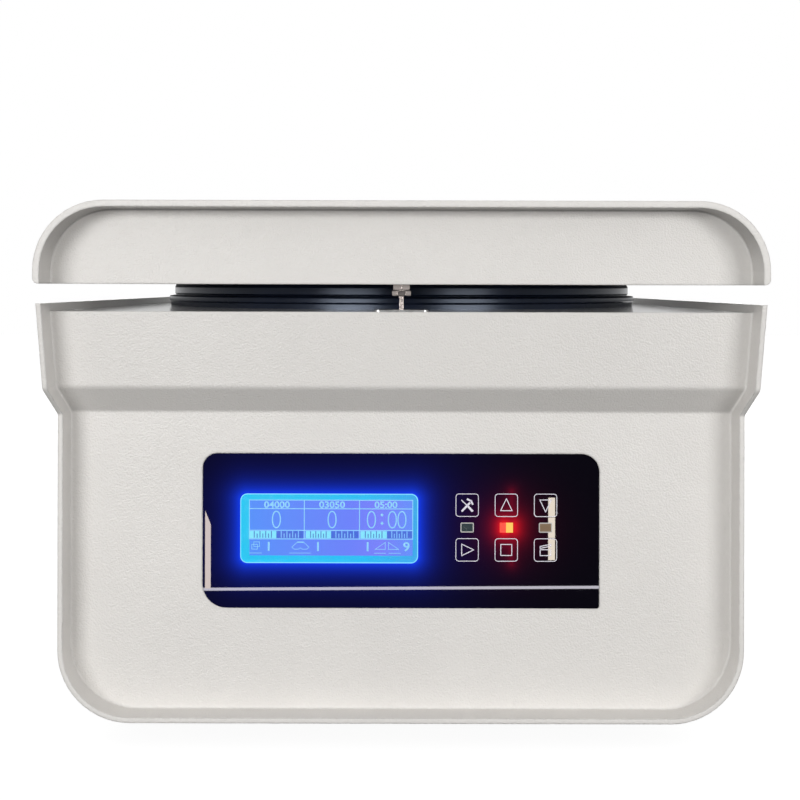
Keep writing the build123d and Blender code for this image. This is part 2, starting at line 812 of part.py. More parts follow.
def damper_bolt(x, y):
    """Hexagon bolt through the motor plate, the damper and the tray."""
    head = along_z(Pos(x, y) * RegularPolygon(5.0, 6, major_radius=False), motor_bottom_z,
                   motor_bottom_z + 4)
    return head + rod_z(damper_bolt_radius, tray_z, motor_bottom_z, x, y)


def cabinet_screws():
    """Screws of the deck, hinges, rear panel and feet, and the motor's bolts."""
    screws = [countersunk(x, y, deck_z, deck_thickness + ledge_thickness)
              for x, y in deck_screw_places]
    top = deck_z + hinge_leaf_thickness
    screws += [countersunk(x, y, top, hinge_leaf_thickness + deck_thickness)
               for x, y in hinge_screw_places]
    screws += [Pos(x, rear_panel_outer_y, z) * Rot(90, 0, 0) * pan_screw(
        rear_panel_thickness + ledge_thickness) for x, z in rear_screw_places]
    screws += [Pos(x, y, foot_well) * pan_screw(tray_top_z - foot_well) for x, y in foot_places]
    return screws + [damper_bolt(x, y) for x, y in damper_places]


save("base_tray", base_tray())
save("rubber_feet", *[rubber_foot(x, y) for x, y in foot_places])
save("cabinet_screws", *cabinet_screws())

# Chamber

def chamber_floor():
    """Pressed steel floor of the chamber, with an upturned edge."""
    outer = bowl_radius + bowl_wall
    return turned([
        (bowl_mouth_radius, bowl_floor_z - bowl_wall, 0),
        (outer, bowl_floor_z - bowl_wall, bowl_floor_bend),
        (outer, bowl_seam_z, 0),
        (bowl_radius, bowl_seam_z, 0),
        (bowl_radius, bowl_floor_z, bowl_floor_bend - bowl_wall),
        (bowl_mouth_radius, bowl_floor_z, 0),
    ])


def chamber_bowl():
    """Rolled steel wall of the chamber, which hangs on the deck by its flange."""
    outer = bowl_radius + bowl_wall
    return turned([
        (outer, bowl_seam_z, 0), (outer, deck_z, 0), (bowl_flange_radius, deck_z, 0),
        (bowl_flange_radius, bowl_flange_top_z, 0), (bowl_radius, bowl_flange_top_z, 0),
        (bowl_radius, bowl_seam_z, 0),
    ])


def chamber_gasket():
    """Rubber ring over the bowl's flange: a lip below, a bulb above."""
    return turned([
        (gasket_inner_radius, bowl_flange_top_z, 0),
        (bowl_flange_radius, bowl_flange_top_z, 0),
        (bowl_flange_radius, deck_z, 0),
        (gasket_base_radius, deck_z, 0),
        (gasket_base_radius, gasket_lip_z - 2.6, 0.4),
        (gasket_lip_radius, gasket_lip_z - 1.8, 0.9),
        (gasket_lip_radius, gasket_groove_z - 0.8, 1.0),
        (gasket_groove_radius, gasket_groove_z, 0.3),
        (gasket_bulb_radius, gasket_groove_z + 0.8, 0.9),
        (gasket_bulb_radius, gasket_top_z - gasket_shoulder, 2.4),
        (gasket_bulb_radius - gasket_shoulder / 2, gasket_top_z, 1.6),
        (gasket_inner_radius, gasket_top_z, 1.2),
    ])


def shaft_boot():
    """Rubber boot between the motor's boss and the hole in the bowl."""
    inner = motor_boss_radius + 0.1
    return turned([
        (inner, motor_top_z + 1, 0), (inner + 2.4, motor_top_z + 1, 0),
        (inner + 2.4, motor_top_z + motor_boss_height, 2.0),
        (bowl_mouth_radius - 2, bowl_floor_z - bowl_wall - 5, 2.0),
        (bowl_mouth_radius + 3, bowl_floor_z - bowl_wall - 2.5, 0.5),
        (bowl_mouth_radius + 3, bowl_floor_z - bowl_wall, 0),
        (bowl_mouth_radius, bowl_floor_z - bowl_wall, 0),
        (bowl_mouth_radius, bowl_floor_z, 0),
        (bowl_mouth_radius + 3, bowl_floor_z, 0),
        (bowl_mouth_radius + 3, bowl_floor_z + 2, 0.6),
        (bowl_mouth_radius - 3, bowl_floor_z + 2, 0.6),
        (bowl_mouth_radius - 5, bowl_floor_z - bowl_wall - 4, 2.0),
        (inner, motor_top_z + motor_boss_height + 2, 2.0),
    ])


save("chamber_floor", chamber_floor())
save("chamber_bowl", chamber_bowl())
save("chamber_gasket", chamber_gasket())
save("armour_ring", ring_z(armour_inner_radius + armour_wall, armour_inner_radius,
                           armour_bottom_z, deck_under_z))
save("shaft_boot", shaft_boot())


def motor_end_caps():
    """Lower and upper bearing caps of the motor."""
    lower = rod_z(motor_radius, motor_bottom_z, motor_body_z)
    lower = lower + rod_z(motor_boss_radius, motor_body_z, motor_bottom_z + bearing_width)
    lower = lower - rod_z(bearing_outer_radius, motor_bottom_z,
                          motor_bottom_z + bearing_width)
    upper = rod_z(motor_radius, motor_body_top_z, motor_top_z)
    upper = upper + rod_z(motor_boss_radius, motor_top_z, motor_top_z + motor_boss_height)
    upper_bearing_z = motor_top_z + motor_boss_height - bearing_width
    upper = upper - rod_z(bearing_outer_radius, upper_bearing_z,
                          motor_top_z + motor_boss_height)
    upper = upper - rod_z(shaft_radius + 1.5, motor_body_top_z, upper_bearing_z)
    return lower, upper


def motor_housing():
    """Finned aluminium tube around the stator."""
    tube = ring_z(motor_radius, motor_radius - motor_wall, motor_body_z, motor_body_top_z)
    fin_count = 24
    for index in range(fin_count):
        fin = Pos(motor_radius, 0, motor_body_z + motor_body_height / 2) * Box(
            7, 2.2, motor_body_height - 12)
        tube = tube + Pos(0, chamber_y, 0) * Rot(0, 0, index * 360 / fin_count) * fin
    return tube


def motor_stator():
    """Laminated stator with slots around the bore."""
    bore = core_radius + air_gap
    stator = ring_z(motor_radius - motor_wall, bore, core_z, core_z + core_height)
    slot_count = 18
    for index in range(slot_count):
        slot = Pos(bore + 6, 0, core_z + core_height / 2) * Box(9, 4, core_height)
        stator = stator - Pos(0, chamber_y, 0) * Rot(0, 0, index * 360 / slot_count) * slot
    return stator


def stator_windings():
    """Copper end turns above and below the stator."""
    inner, outer = core_radius + 4.0, motor_radius - motor_wall - 4.0
    rings = []
    for z in (core_z - winding_height, core_z + core_height):
        rings.append(turned([(inner, z, 1.8), (outer, z, 1.8), (outer, z + winding_height, 1.8),
                             (inner, z + winding_height, 1.8)]))
    return rings


def shaft_bearings():
    """Ball bearings of the motor shaft, as plain rings."""
    lower_z = motor_bottom_z
    upper_z = motor_top_z + motor_boss_height - bearing_width
    inner = shaft_radius + running_gap
    rings = []
    for z in (lower_z, upper_z):
        groove = turned([(11.5, z, 0), (14.0, z, 0), (14.0, z + 0.8, 0), (11.5, z + 0.8, 0)])
        rings.append(ring_z(bearing_outer_radius, inner, z, z + bearing_width) - groove)
    return rings


def motor_mount_plate():
    """Square plate that the motor stands on."""
    side = 2 * mount_plate_half
    face = Pos(0, chamber_y) * (RectangleRounded(side, side, 14) - Circle(shaft_radius + 6))
    plate = along_z(face, mount_plate_z, motor_bottom_z)
    for x, y in damper_places:
        plate = plate - rod_z(damper_bolt_radius, mount_plate_z, motor_bottom_z, x, y)
    return plate


def rubber_damper(x, y):
    """Waisted rubber block between the tray and the motor plate."""
    return turned([
        (damper_bolt_radius, tray_top_z, 0), (damper_radius, tray_top_z, 0),
        (damper_radius, tray_top_z + 3, 1.0),
        (damper_radius - 2.5, tray_top_z + damper_height / 2, 3.0),
        (damper_radius, mount_plate_z - 3, 1.0), (damper_radius, mount_plate_z, 0),
        (damper_bolt_radius, mount_plate_z, 0),
    ], x, y)


save("motor_end_caps", *motor_end_caps())
save("motor_housing", motor_housing())
save("motor_stator", motor_stator())
save("stator_windings", *stator_windings())
save("shaft_bearings", *shaft_bearings())
save("motor_mount_plate", motor_mount_plate())
save("rubber_dampers", *[rubber_damper(x, y) for x, y in damper_places])

# Drive electronics


def drive_heatsink():
    """Finned heat sink that stands on the tray, fins outward."""
    back = block(heatsink_x, heatsink_x + heatsink_back, chamber_y - heatsink_half_length,
                 chamber_y + heatsink_half_length, tray_top_z, tray_top_z + heatsink_height)
    sink = back
    fin_count = int(2 * heatsink_half_length // heatsink_pitch) + 1
    for index in range(fin_count):
        y = chamber_y - (fin_count - 1) * heatsink_pitch / 2 + index * heatsink_pitch
        sink = sink + block(heatsink_x + heatsink_back, heatsink_x + heatsink_width,
                            y - heatsink_fin / 2, y + heatsink_fin / 2, tray_top_z,
                            tray_top_z + heatsink_height)
    return sink


def drive_board():
    """Motor drive board, with capacitors and a connector, against the heat sink."""
    face_x = heatsink_x - board_thickness
    length = heatsink_half_length - drive_board_inset
    board = block(face_x, heatsink_x, chamber_y - length, chamber_y + length,
                  tray_top_z + drive_board_inset,
                  tray_top_z + heatsink_height - drive_board_inset)
    solids = [board]
    for y in capacitor_y:
        solids.append(rod_x(capacitor_radius, face_x - capacitor_length, face_x, chamber_y + y,
                            tray_top_z + capacitor_height))
    for y0, y1, low, high, rise in drive_chips:
        solids.append(block(face_x - rise, face_x, chamber_y + y0, chamber_y + y1,
                            tray_top_z + low, tray_top_z + high))
    return solids


save("drive_heatsink", drive_heatsink())
save("drive_board", *drive_board())

# Control panel

def key_face(grow):
    """Rounded square of a key, larger by grow on every side."""
    side = key_size + 2 * grow
    return RectangleRounded(side, side, key_corner_radius + grow)


def control_panel():
    """Glossy plate with openings for the display, the keys and the indicators."""
    plate = along_y(rounded(panel_corners), panel_front_y, panel_back_y)
    display = Pos(display_middle_x, display_middle_z) * RectangleRounded(
        display_width, display_height, display_corner_radius)
    plate = plate - along_y(display, panel_front_y, panel_back_y)
    for x, z in key_places:
        plate = plate - along_y(Pos(x, z) * key_face(key_gap), panel_front_y, panel_back_y)
    for x, z in led_places:
        hole = Pos(x, z) * RectangleRounded(led_width, led_height, 0.6)
        plate = plate - along_y(hole, panel_front_y, panel_back_y)
    return plate


def display_window():
    """Clear pane in the panel's display opening."""
    pane = Pos(display_middle_x, display_middle_z) * RectangleRounded(
        display_width, display_height, display_corner_radius)
    return along_y(pane, panel_front_y, panel_back_y)


def lcd_module():
    """Display module: a bezel, its glass and its back plate, on the control board."""
    face_y = panel_back_y + fit_gap
    outline = Pos(display_middle_x, display_middle_z) * Rectangle(
        display_width + 2 * lcd_border, display_height + 2 * lcd_border)
    frame = along_y(outline, face_y, board_front_y)
    glass_seat = along_y(Pos(display_middle_x, display_middle_z) * Rectangle(
        display_width, display_height), face_y, face_y + 1.0)
    glass = along_y(Pos(display_middle_x, display_middle_z) * Rectangle(
        display_width - 0.2, display_height - 0.2), face_y + 0.2, face_y + 1.0)
    return frame - glass_seat, glass


def control_board():
    """Control board on its bosses, with chips and a connector at the back."""
    back_y = board_front_y + board_thickness
    board = block(-board_half_width, board_half_width, board_front_y, back_y,
                  board_middle_z - board_half_height, board_middle_z + board_half_height)
    solids = [board]
    for x, z, width, height in board_chips:
        middle = board_middle_z + z
        solids.append(block(x - width / 2, x + width / 2, back_y, back_y + board_chip_height,
                            middle - height / 2, middle + height / 2))
    x0, x1, low, high = board_plug
    solids.append(block(x0, x1, back_y, back_y + board_plug_height, board_middle_z + low,
                        board_middle_z + high))
    return solids


def key_cap(x, z):
    """Key flush with the panel, with a skirt behind it that keeps it in."""
    cap = along_y(Pos(x, z) * key_face(0), panel_front_y, panel_back_y + key_gap)
    skirt = along_y(Pos(x, z) * key_face(key_gap + key_skirt), panel_back_y + key_gap,
                    panel_back_y + key_gap + key_skirt_depth)
    return cap + skirt


def tact_switch(x, z):
    """Small push switch on the control board behind a key."""
    actuator_y = panel_back_y + key_gap + key_skirt_depth + key_travel + 0.1
    body = block(x - tact_switch_side / 2, x + tact_switch_side / 2, board_front_y - 2.6,
                 board_front_y, z - tact_switch_side / 2, z + tact_switch_side / 2)
    return body + rod_y(1.7, actuator_y, board_front_y - 2.6, x, z)


def indicator_lens(x, z):
    """Light pipe of one indicator, from the panel's face to the board."""
    face = Pos(x, z) * RectangleRounded(led_width, led_height, 0.6)
    return along_y(face, panel_front_y, panel_back_y) + block(
        x - 2, x + 2, panel_back_y, board_front_y, z - 2, z + 2)


save("control_panel", control_panel())
save("display_window", display_window())
save("lcd_module", *lcd_module())
save("control_board", *control_board())
save("key_switches", *[tact_switch(x, z) for x, z in key_places])
save("indicator_lenses", *[indicator_lens(x, z) for x, z in led_places])
for key_name, (key_x, key_z) in zip(key_names, key_places):
    save(key_name, key_cap(key_x, key_z))

# Latch


def slot_sketch(grow):
    """Oval opening that the striker drops into."""
    return Pos(0, latch_y) * SlotOverall(latch_slot_length + 2 * grow,
                                         latch_slot_width + 2 * grow, rotation=90)


def latch_slot_plate():
    """Thin trim plate on the deck around the latch opening."""
    plate = Pos(0, latch_y) * RectangleRounded(slot_plate_width, slot_plate_length, 3)
    return along_z(plate - slot_sketch(0), deck_z, deck_z + slot_plate_thickness)


def latch_bracket():
    """Sheet bracket under the deck, with two cheeks that guide the bolt."""
    top = deck_under_z
    right_x = latch_cheek_x + latch_sheet + solenoid_length
    left_x = -latch_keeper_x - latch_sheet - lid_switch_size[0] - 2
    base = block(left_x, right_x, latch_y - latch_bracket_half, latch_y + latch_bracket_half,
                 top - latch_sheet, top)
    base = base - along_z(slot_sketch(1), top - latch_sheet, top)
    cheek = block(latch_cheek_x, latch_cheek_x + latch_sheet, latch_y - latch_cheek_half,
                  latch_y + latch_cheek_half, latch_cheek_bottom_z, top - latch_sheet)
    keeper = block(-latch_keeper_x - latch_sheet, -latch_keeper_x, latch_y - latch_cheek_half,
                   latch_y + latch_cheek_half, latch_cheek_bottom_z, top - latch_sheet)
    bore = rod_x(latch_bolt_radius + running_gap, -latch_keeper_x - latch_sheet,
                 latch_cheek_x + latch_sheet, latch_y, latch_bolt_z)
    return base + cheek + keeper - bore


def latch_solenoid():
    """Solenoid body beside the guide cheek."""
    x0 = latch_cheek_x + latch_sheet
    half = solenoid_side / 2
    body = block(x0, x0 + solenoid_length, latch_y - half, latch_y + half,
                 latch_bolt_z - half, latch_bolt_z + half)
    body = fillet(body.edges().filter_by(Axis.X), 2.0)
    return body - rod_x(plunger_radius + running_gap, x0, x0 + solenoid_length, latch_y,
                        latch_bolt_z)


def latch_bolt():
    """Bolt and plunger in one turned piece, drawn back so that the lid is free."""
    tip_x = striker_blade_thickness / 2 + 1.8
    step_x = latch_cheek_x + latch_sheet + latch_travel + 0.5
    end_x = latch_cheek_x + latch_sheet + solenoid_length + 4
    bolt = rod_x(latch_bolt_radius, tip_x, step_x, latch_y, latch_bolt_z)
    bolt = chamfer(bolt.faces().sort_by(Axis.X)[0].edges(), 0.8)
    return bolt + rod_x(plunger_radius, step_x, end_x, latch_y, latch_bolt_z)


def lid_switch():
    """Switch that senses the closed lid, under the bracket."""
    length, width, height = lid_switch_size
    x1 = -latch_keeper_x - latch_sheet - 1
    top = deck_under_z - latch_sheet
    body = block(x1 - length, x1, latch_y - width / 2, latch_y + width / 2, top - height, top)
    lever = block(x1 - length + 2, x1 - 1, latch_y - 2, latch_y + 2, top - height - 1.2,
                  top - height - 0.9)
    post = block(x1 - length + 2, x1 - length + 4, latch_y - 2, latch_y + 2,
                 top - height - 1.2, top - height)
    return body + lever + post


save("latch_slot_plate", latch_slot_plate())
save("latch_bracket", latch_bracket())
save("latch_solenoid", latch_solenoid())
save("latch_bolt", latch_bolt())
save("lid_switch", lid_switch())

# Hinges

def knuckle(x0, x1, bore):
    """Barrel around the hinge axis."""
    barrel = rod_x(hinge_knuckle_radius, x0, x1, hinge_axis_y, hinge_axis_z)
    return barrel, rod_x(bore, x0, x1, hinge_axis_y, hinge_axis_z)


def hinge_bracket(x):
    """Fixed leaf on the deck with its two outer knuckles."""
    half = hinge_half_length
    gap = hinge_leaf_half_length + fit_gap
    leaf = block(x - half, x + half, hinge_front_y, hinge_axis_y - hinge_knuckle_radius - 1,
                 deck_z, hinge_lower_top_z)
    bore = None
    for x0, x1 in ((x - half, x - gap), (x + gap, x + half)):
        barrel, hole = knuckle(x0, x1, hinge_pin_radius)
        web = block(x0, x1, hinge_axis_y - hinge_knuckle_radius - 1, hinge_axis_y, deck_z,
                    hinge_axis_z)
        leaf = leaf + barrel + web
        bore = hole if bore is None else bore + hole
    for place_x, place_y in hinge_screw_places:
        if abs(place_x - x) < half:
            leaf = leaf - countersunk(place_x, place_y, hinge_lower_top_z,
                                      hinge_leaf_thickness)
    return leaf - bore


def hinge_pin(x):
    """Pin with a head at each end."""
    reach = hinge_half_length + 1.5
    pin = rod_x(hinge_pin_radius, x - reach, x + reach, hinge_axis_y, hinge_axis_z)
    for side in (-1, 1):
        pin = pin + rod_x(hinge_pin_radius + 1.5, x + side * hinge_half_length,
                          x + side * reach, hinge_axis_y, hinge_axis_z)
    return pin


def hinge_leaf(x):
    """Moving leaf under the lid liner with its middle knuckle."""
    half = hinge_leaf_half_length
    plate = block(x - hinge_half_length, x + hinge_half_length, hinge_front_y,
                  hinge_axis_y - hinge_knuckle_radius - 1, hinge_upper_z, liner_z)
    barrel, hole = knuckle(x - half, x + half, hinge_pin_radius + running_gap)
    web = block(x - half, x + half, hinge_axis_y - hinge_knuckle_radius - 1, hinge_axis_y,
                hinge_axis_z, liner_z)
    leaf = plate + barrel + web - hole
    for place_x, place_y in hinge_screw_places:
        if abs(place_x - x) < hinge_half_length:
            leaf = leaf - rod_z(screw_radius, hinge_upper_z, liner_z, place_x, place_y)
    return leaf


save("hinge_brackets", *[hinge_bracket(side * hinge_spread) for side in (-1, 1)])
save("hinge_pins", *[hinge_pin(side * hinge_spread) for side in (-1, 1)])
save("hinge_leaves", *[hinge_leaf(side * hinge_spread) for side in (-1, 1)])

# Lid

def lid_section(inset, bottom, foot_round=0.0):
    """Front outline of the lid, drawn in from its outer skin."""
    half = lid_half - inset
    top = lid_top_z - inset
    corner = lid_corner_radius - inset
    return rounded([(-half, bottom, foot_round), (half, bottom, foot_round),
                    (half, top, corner), (-half, top, corner)])


def lid_shell():
    """Lid moulding: top, sides, recessed front wall and rear wall."""
    skin = along_y(lid_section(0, lid_bottom_z, lid_foot_round), front_y, rear_y)
    recess = along_y(lid_section(lid_wall, lid_bottom_z - beyond), front_y - beyond,
                     lid_front_face_y)
    back_edges = recess.faces().sort_by(Axis.Y)[-1].edges()
    recess = fillet([edge for edge in back_edges if edge.center().Z > lid_bottom_z - 50],
                    lid_cove)
    cavity = along_y(lid_section(lid_wall, lid_bottom_z - beyond), lid_front_inner_y,
                     lid_rear_inner_y)
    rear_recess_cut = along_y(lid_section(lid_wall, lid_bottom_z - beyond),
                              rear_panel_outer_y, rear_y + beyond)
    rear_foot = block(lid_wall - lid_half, lid_half - lid_wall, lid_rear_inner_y - 1,
                      rear_y + beyond, lid_bottom_z - beyond, liner_z)
    shell = skin - recess - cavity - rear_recess_cut - rear_foot
    for x, y in liner_screw_places:
        shell = shell + (rod_z(lid_boss_radius, liner_top_z, lid_inner_top_z + 1, x, y)
                         - rod_z(screw_radius, liner_top_z,
                                 liner_top_z + liner_screw_grip + 1, x, y))
    return shell


def lid_liner():
    """Steel inner plate of the lid with turned-up edges."""
    plate = block(-liner_half, liner_half, lid_front_inner_y + fit_gap,
                  lid_rear_inner_y - fit_gap, liner_z, liner_z + liner_flange_height)
    pan = block(liner_thickness - liner_half, liner_half - liner_thickness,
                lid_front_inner_y + fit_gap + liner_thickness,
                lid_rear_inner_y - fit_gap - liner_thickness, liner_top_z,
                liner_z + liner_flange_height)
    liner = plate - pan
    liner = liner - rod_z(striker_stud_radius, liner_z, liner_top_z, 0, latch_y)
    for x, y in liner_screw_places + hinge_screw_places:
        liner = liner - rod_z(screw_radius, liner_z, liner_top_z, x, y)
    return liner


def liner_screws():
    """Screws that hold the liner to the lid and the hinge leaves to the liner."""
    screws = [Pos(x, y, liner_z) * pan_screw(liner_thickness + liner_screw_grip)
              for x, y in liner_screw_places]
    screws += [Pos(x, y, hinge_upper_z) * pan_screw(hinge_leaf_thickness + liner_thickness + 4)
               for x, y in hinge_screw_places]
    return screws


def striker():
    """Stud with the blade that the latch bolt passes through."""
    stud = rod_z(striker_stud_radius, striker_stud_bottom_z, striker_stud_top_z, 0, latch_y)
    half = striker_blade_thickness / 2
    blade = block(-half, half, latch_y - striker_blade_width / 2,
                  latch_y + striker_blade_width / 2, striker_blade_tip_z, striker_stud_bottom_z)
    blade = chamfer(blade.edges().filter_by(Axis.X).group_by(Axis.Z)[0], 3.0)
    window = block(-half, half, latch_y - striker_window / 2, latch_y + striker_window / 2,
                   latch_bolt_z - striker_window / 2, latch_bolt_z + striker_window / 2)
    groove = block(-0.45, 0.45, latch_y - striker_blade_width / 2,
                   latch_y - striker_blade_width / 2 + 0.9, striker_blade_tip_z + 18,
                   striker_stud_bottom_z)
    return stud + (blade - window - groove)


def hex_nut(z, height, turn):
    """Hexagon nut on the striker's stud."""
    hexagon = RegularPolygon(striker_nut_across / 2, 6, major_radius=False, rotation=turn)
    nut = along_z(Pos(0, latch_y) * (hexagon - Circle(striker_stud_radius)), z, z + height)
    crown = turned([(0, z, 0), (striker_nut_across / 2 + 0.1, z, 0),
                    (striker_nut_across / 2 + 1.2, z + 0.7, 0),
                    (striker_nut_across / 2 + 1.2, z + height - 0.7, 0),
                    (striker_nut_across / 2 + 0.1, z + height, 0), (0, z + height, 0)],
                   0, latch_y)
    return nut & crown


def striker_nuts():
    """Two nuts and a washer under the liner and a nut above it."""
    return [
        hex_nut(striker_stud_bottom_z, striker_lower_nut_height, 0),
        hex_nut(upper_nut_z, striker_nut_height, 30),
        ring_z(6.0, striker_stud_radius, liner_z - washer_height, liner_z, 0, latch_y),
        hex_nut(liner_top_z, striker_nut_height, 12),
    ]


save("lid_shell", lid_shell())
save("lid_liner", lid_liner())
save("liner_screws", *liner_screws())
save("striker", striker())
save("striker_nuts", *striker_nuts())

# Rotor

def rotor_shaft():
    """Motor shaft with the collar that carries the rotor head."""
    shaft = rod_z(shaft_radius, motor_bottom_z - 2, rotor_top_z)
    collar = turned([(0, rotor_bottom_z - 12, 0), (shaft_radius, rotor_bottom_z - 12, 0),
                     (shaft_collar_radius, rotor_bottom_z - 6, 0.8),
                     (shaft_collar_radius, rotor_bottom_z, 0), (0, rotor_bottom_z, 0)])
    return shaft + collar + rod_z(shaft_stud_radius, rotor_top_z,
                                  rotor_top_z + rotor_nut_height + rotor_knob_height - 4)


def rotor_head():
    """Four-armed yoke with a notch and two trunnion pins for each bucket."""
    head = turned([(0, rotor_bottom_z, 0), (rotor_radius - 8, rotor_bottom_z, 2.0),
                   (rotor_radius, pivot_z - 4, 2.0), (rotor_radius, rotor_top_z, 3.0),
                   (0, rotor_top_z, 0)], 0, 0)
    hub_dish = turned([(shaft_collar_radius + 16, rotor_top_z + 1, 0),
                       (rotor_radius - 14, rotor_top_z + 1, 0),
                       (rotor_radius - 22, rotor_top_z - 7, 3.0),
                       (shaft_collar_radius + 20, rotor_top_z - 7, 3.0)], 0, 0)
    head = head - hub_dish
    pins = []
    for index in range(bucket_count):
        turn = Rot(0, 0, index * 360 / bucket_count)
        notch_face = Pos((rotor_notch_inner + rotor_radius + 10) / 2, 0) * RectangleRounded(
            rotor_radius + 10 - rotor_notch_inner, 2 * rotor_notch_half, 8)
        mouth = Pos(rotor_radius, 0) * Rectangle(40, 2 * rotor_notch_half)
        head = head - turn * along_z(notch_face + mouth, rotor_bottom_z - 1, rotor_top_z + 1)
        for side in (-1, 1):
            pin = Pos(pivot_radius, side * (rotor_notch_half - trunnion_length / 2 + 1),
                      pivot_z) * Rot(90, 0, 0) * Cylinder(trunnion_radius,
                                                          trunnion_length + 2)
            pins.append(turn * pin)
    for pin in pins:
        head = head + pin
    head = head - rod_z(shaft_radius, rotor_bottom_z - 1, rotor_top_z + 1, 0, 0)
    return Pos(0, chamber_y, 0) * head


def rotor_nut():
    """Hand nut that clamps the rotor head to the shaft."""
    knob_z = rotor_top_z + rotor_nut_height
    nut = turned([(0, rotor_top_z, 0), (rotor_nut_radius, rotor_top_z, 0.8),
                  (rotor_nut_radius, knob_z, 1.5), (rotor_knob_radius, knob_z, 1.0),
                  (rotor_knob_radius, knob_z + rotor_knob_height, 1.5),
                  (0, knob_z + rotor_knob_height, 0)])
    for index in range(12):
        flute = Pos(0, chamber_y, 0) * Rot(0, 0, index * 30) * Pos(
            rotor_knob_radius + 1.2, 0, knob_z + rotor_knob_height / 2 + 2) * Cylinder(
                2.2, rotor_knob_height)
        nut = nut - flute
    return nut - rod_z(shaft_stud_radius, rotor_top_z, knob_z + rotor_knob_height - 4)


def bucket():
    """Round swing-out bucket with two hooked ears, hanging below its pivot."""
    cup = turned([
        (0, -bucket_drop, 0), (bucket_radius, -bucket_drop, bucket_bottom_round),
        (bucket_radius, bucket_rise, 0.6), (bucket_radius - bucket_wall, bucket_rise, 0.6),
        (bucket_radius - bucket_wall, bucket_wall - bucket_drop,
         bucket_bottom_round - bucket_wall),
        (0, bucket_wall - bucket_drop, 0),
    ], 0, 0)
    tongue = rotor_notch_half - bucket_ear_gap
    inner = bucket_radius - bucket_wall
    ears = []
    for side in (-1, 1):
        ear = block(-bucket_ear_half_width, bucket_ear_half_width, side * (inner - 1),
                    side * tongue, -bucket_ear_below, bucket_ear_above)
        ear = fillet(ear.edges().filter_by(Axis.Y).group_by(Axis.Z)[-1], 3.0)
        hook = Pos(0, side * (inner + tongue) / 2, 0) * Rot(90, 0, 0) * Cylinder(
            trunnion_radius + running_gap, tongue - inner + 8)
        throat = block(-trunnion_radius - running_gap, trunnion_radius + running_gap,
                       side * (rotor_notch_half - trunnion_length - 0.4), side * (tongue + 1),
                       -bucket_ear_below - 1, 0)
        hook = hook & block(-20, 20, side * (rotor_notch_half - trunnion_length - 0.4),
                            side * (tongue + 1), -20, 20)
        ears.append(ear - hook - throat)
    bore = rod_z(inner, bucket_wall - bucket_drop + bucket_bottom_round, bucket_rise + 1, 0, 0)
    return cup + (ears[0] - bore) + (ears[1] - bore)


save("rotor_shaft", rotor_shaft())
save("motor_core", ring_z(core_radius, shaft_radius, core_z, core_z + core_height))
save("rotor_head", rotor_head())
save("rotor_nut", rotor_nut())
for number in range(bucket_count):
    place = Pos(0, chamber_y, pivot_z) * Rot(0, 0, number * 360 / bucket_count)
    save(f"bucket_{number + 1}", place * Pos(pivot_radius, 0, 0) * bucket())
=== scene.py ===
"""Benchtop centrifuge with its finishes, printed marks, display and lights, in metres.

+Z is up, the control panel faces -Y and the floor is at Z = 0.
"""

import json
from math import cos, pi, radians, sin

import bmesh
import bpy
from mathutils import Matrix, Vector


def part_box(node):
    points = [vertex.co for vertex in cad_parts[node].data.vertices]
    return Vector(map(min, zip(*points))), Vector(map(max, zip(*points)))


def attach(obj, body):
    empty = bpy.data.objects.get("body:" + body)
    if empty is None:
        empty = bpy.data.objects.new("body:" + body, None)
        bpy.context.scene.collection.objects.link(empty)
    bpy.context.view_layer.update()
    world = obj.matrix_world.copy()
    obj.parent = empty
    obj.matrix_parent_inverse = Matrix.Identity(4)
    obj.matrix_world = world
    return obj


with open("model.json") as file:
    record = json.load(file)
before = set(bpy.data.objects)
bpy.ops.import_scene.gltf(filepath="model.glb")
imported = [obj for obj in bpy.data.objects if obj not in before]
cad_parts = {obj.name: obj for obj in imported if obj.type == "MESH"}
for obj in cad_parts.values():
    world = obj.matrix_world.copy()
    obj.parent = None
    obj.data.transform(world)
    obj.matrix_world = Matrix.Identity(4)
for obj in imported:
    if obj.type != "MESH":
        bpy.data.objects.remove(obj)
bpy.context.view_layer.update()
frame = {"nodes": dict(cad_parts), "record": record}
nodes = frame["nodes"]

# Camera, found from the photograph's perspective
camera_distance = 1.040
camera_height = 0.2789
camera_focal_px = 1285.0
image_side_px = 800.0
horizon_px = 285.0
camera_roll = radians(-0.14)
camera_shift_x = -0.0019
camera_clip_start = 0.05
sensor_width = 36.0

# Places read from the frame
panel_face_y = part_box("control_panel")[0].y
pane_low, pane_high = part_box("display_window")
lcd_face_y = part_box("lcd_module")[0].y
led_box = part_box("indicator_lenses")
key_boxes = {name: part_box(name) for name in
             ("key_set", "key_up", "key_down", "key_start", "key_stop", "key_open")}


def middle_of(box):
    """Middle of a box on the panel's face, as (X, Z)."""
    return ((box[0].x + box[1].x) / 2, (box[0].z + box[1].z) / 2)


display_centre = middle_of((pane_low, pane_high))
display_half = ((pane_high.x - pane_low.x) / 2, (pane_high.z - pane_low.z) / 2)
display_corner = 0.0043
led_middle_z = middle_of(led_box)[1]
red_led_x = middle_of(key_boxes["key_up"])[0]


# Colours and nodes

black = (0.0, 0.0, 0.0)
white = (1.0, 1.0, 1.0)

# Span in which most of a noise texture's values lie
noise_low = 0.3
noise_high = 0.7

# Places of the colour sockets of a mix node
mix_first_colour = 6
mix_second_colour = 7
mix_colour_result = 2


def srgb(red, green, blue):
    """Linear colour from screen values of 0 to 255."""
    def linear(value):
        share = value / 255.0
        return share / 12.92 if share <= 0.04045 else ((share + 0.055) / 1.055) ** 2.4
    return (linear(red), linear(green), linear(blue))


def shade(colour, factor):
    """Colour made lighter or darker."""
    return tuple(min(1.0, channel * factor) for channel in colour)


def opaque(colour):
    """Colour with the full alpha that a shader's socket needs."""
    return (*colour, 1.0)


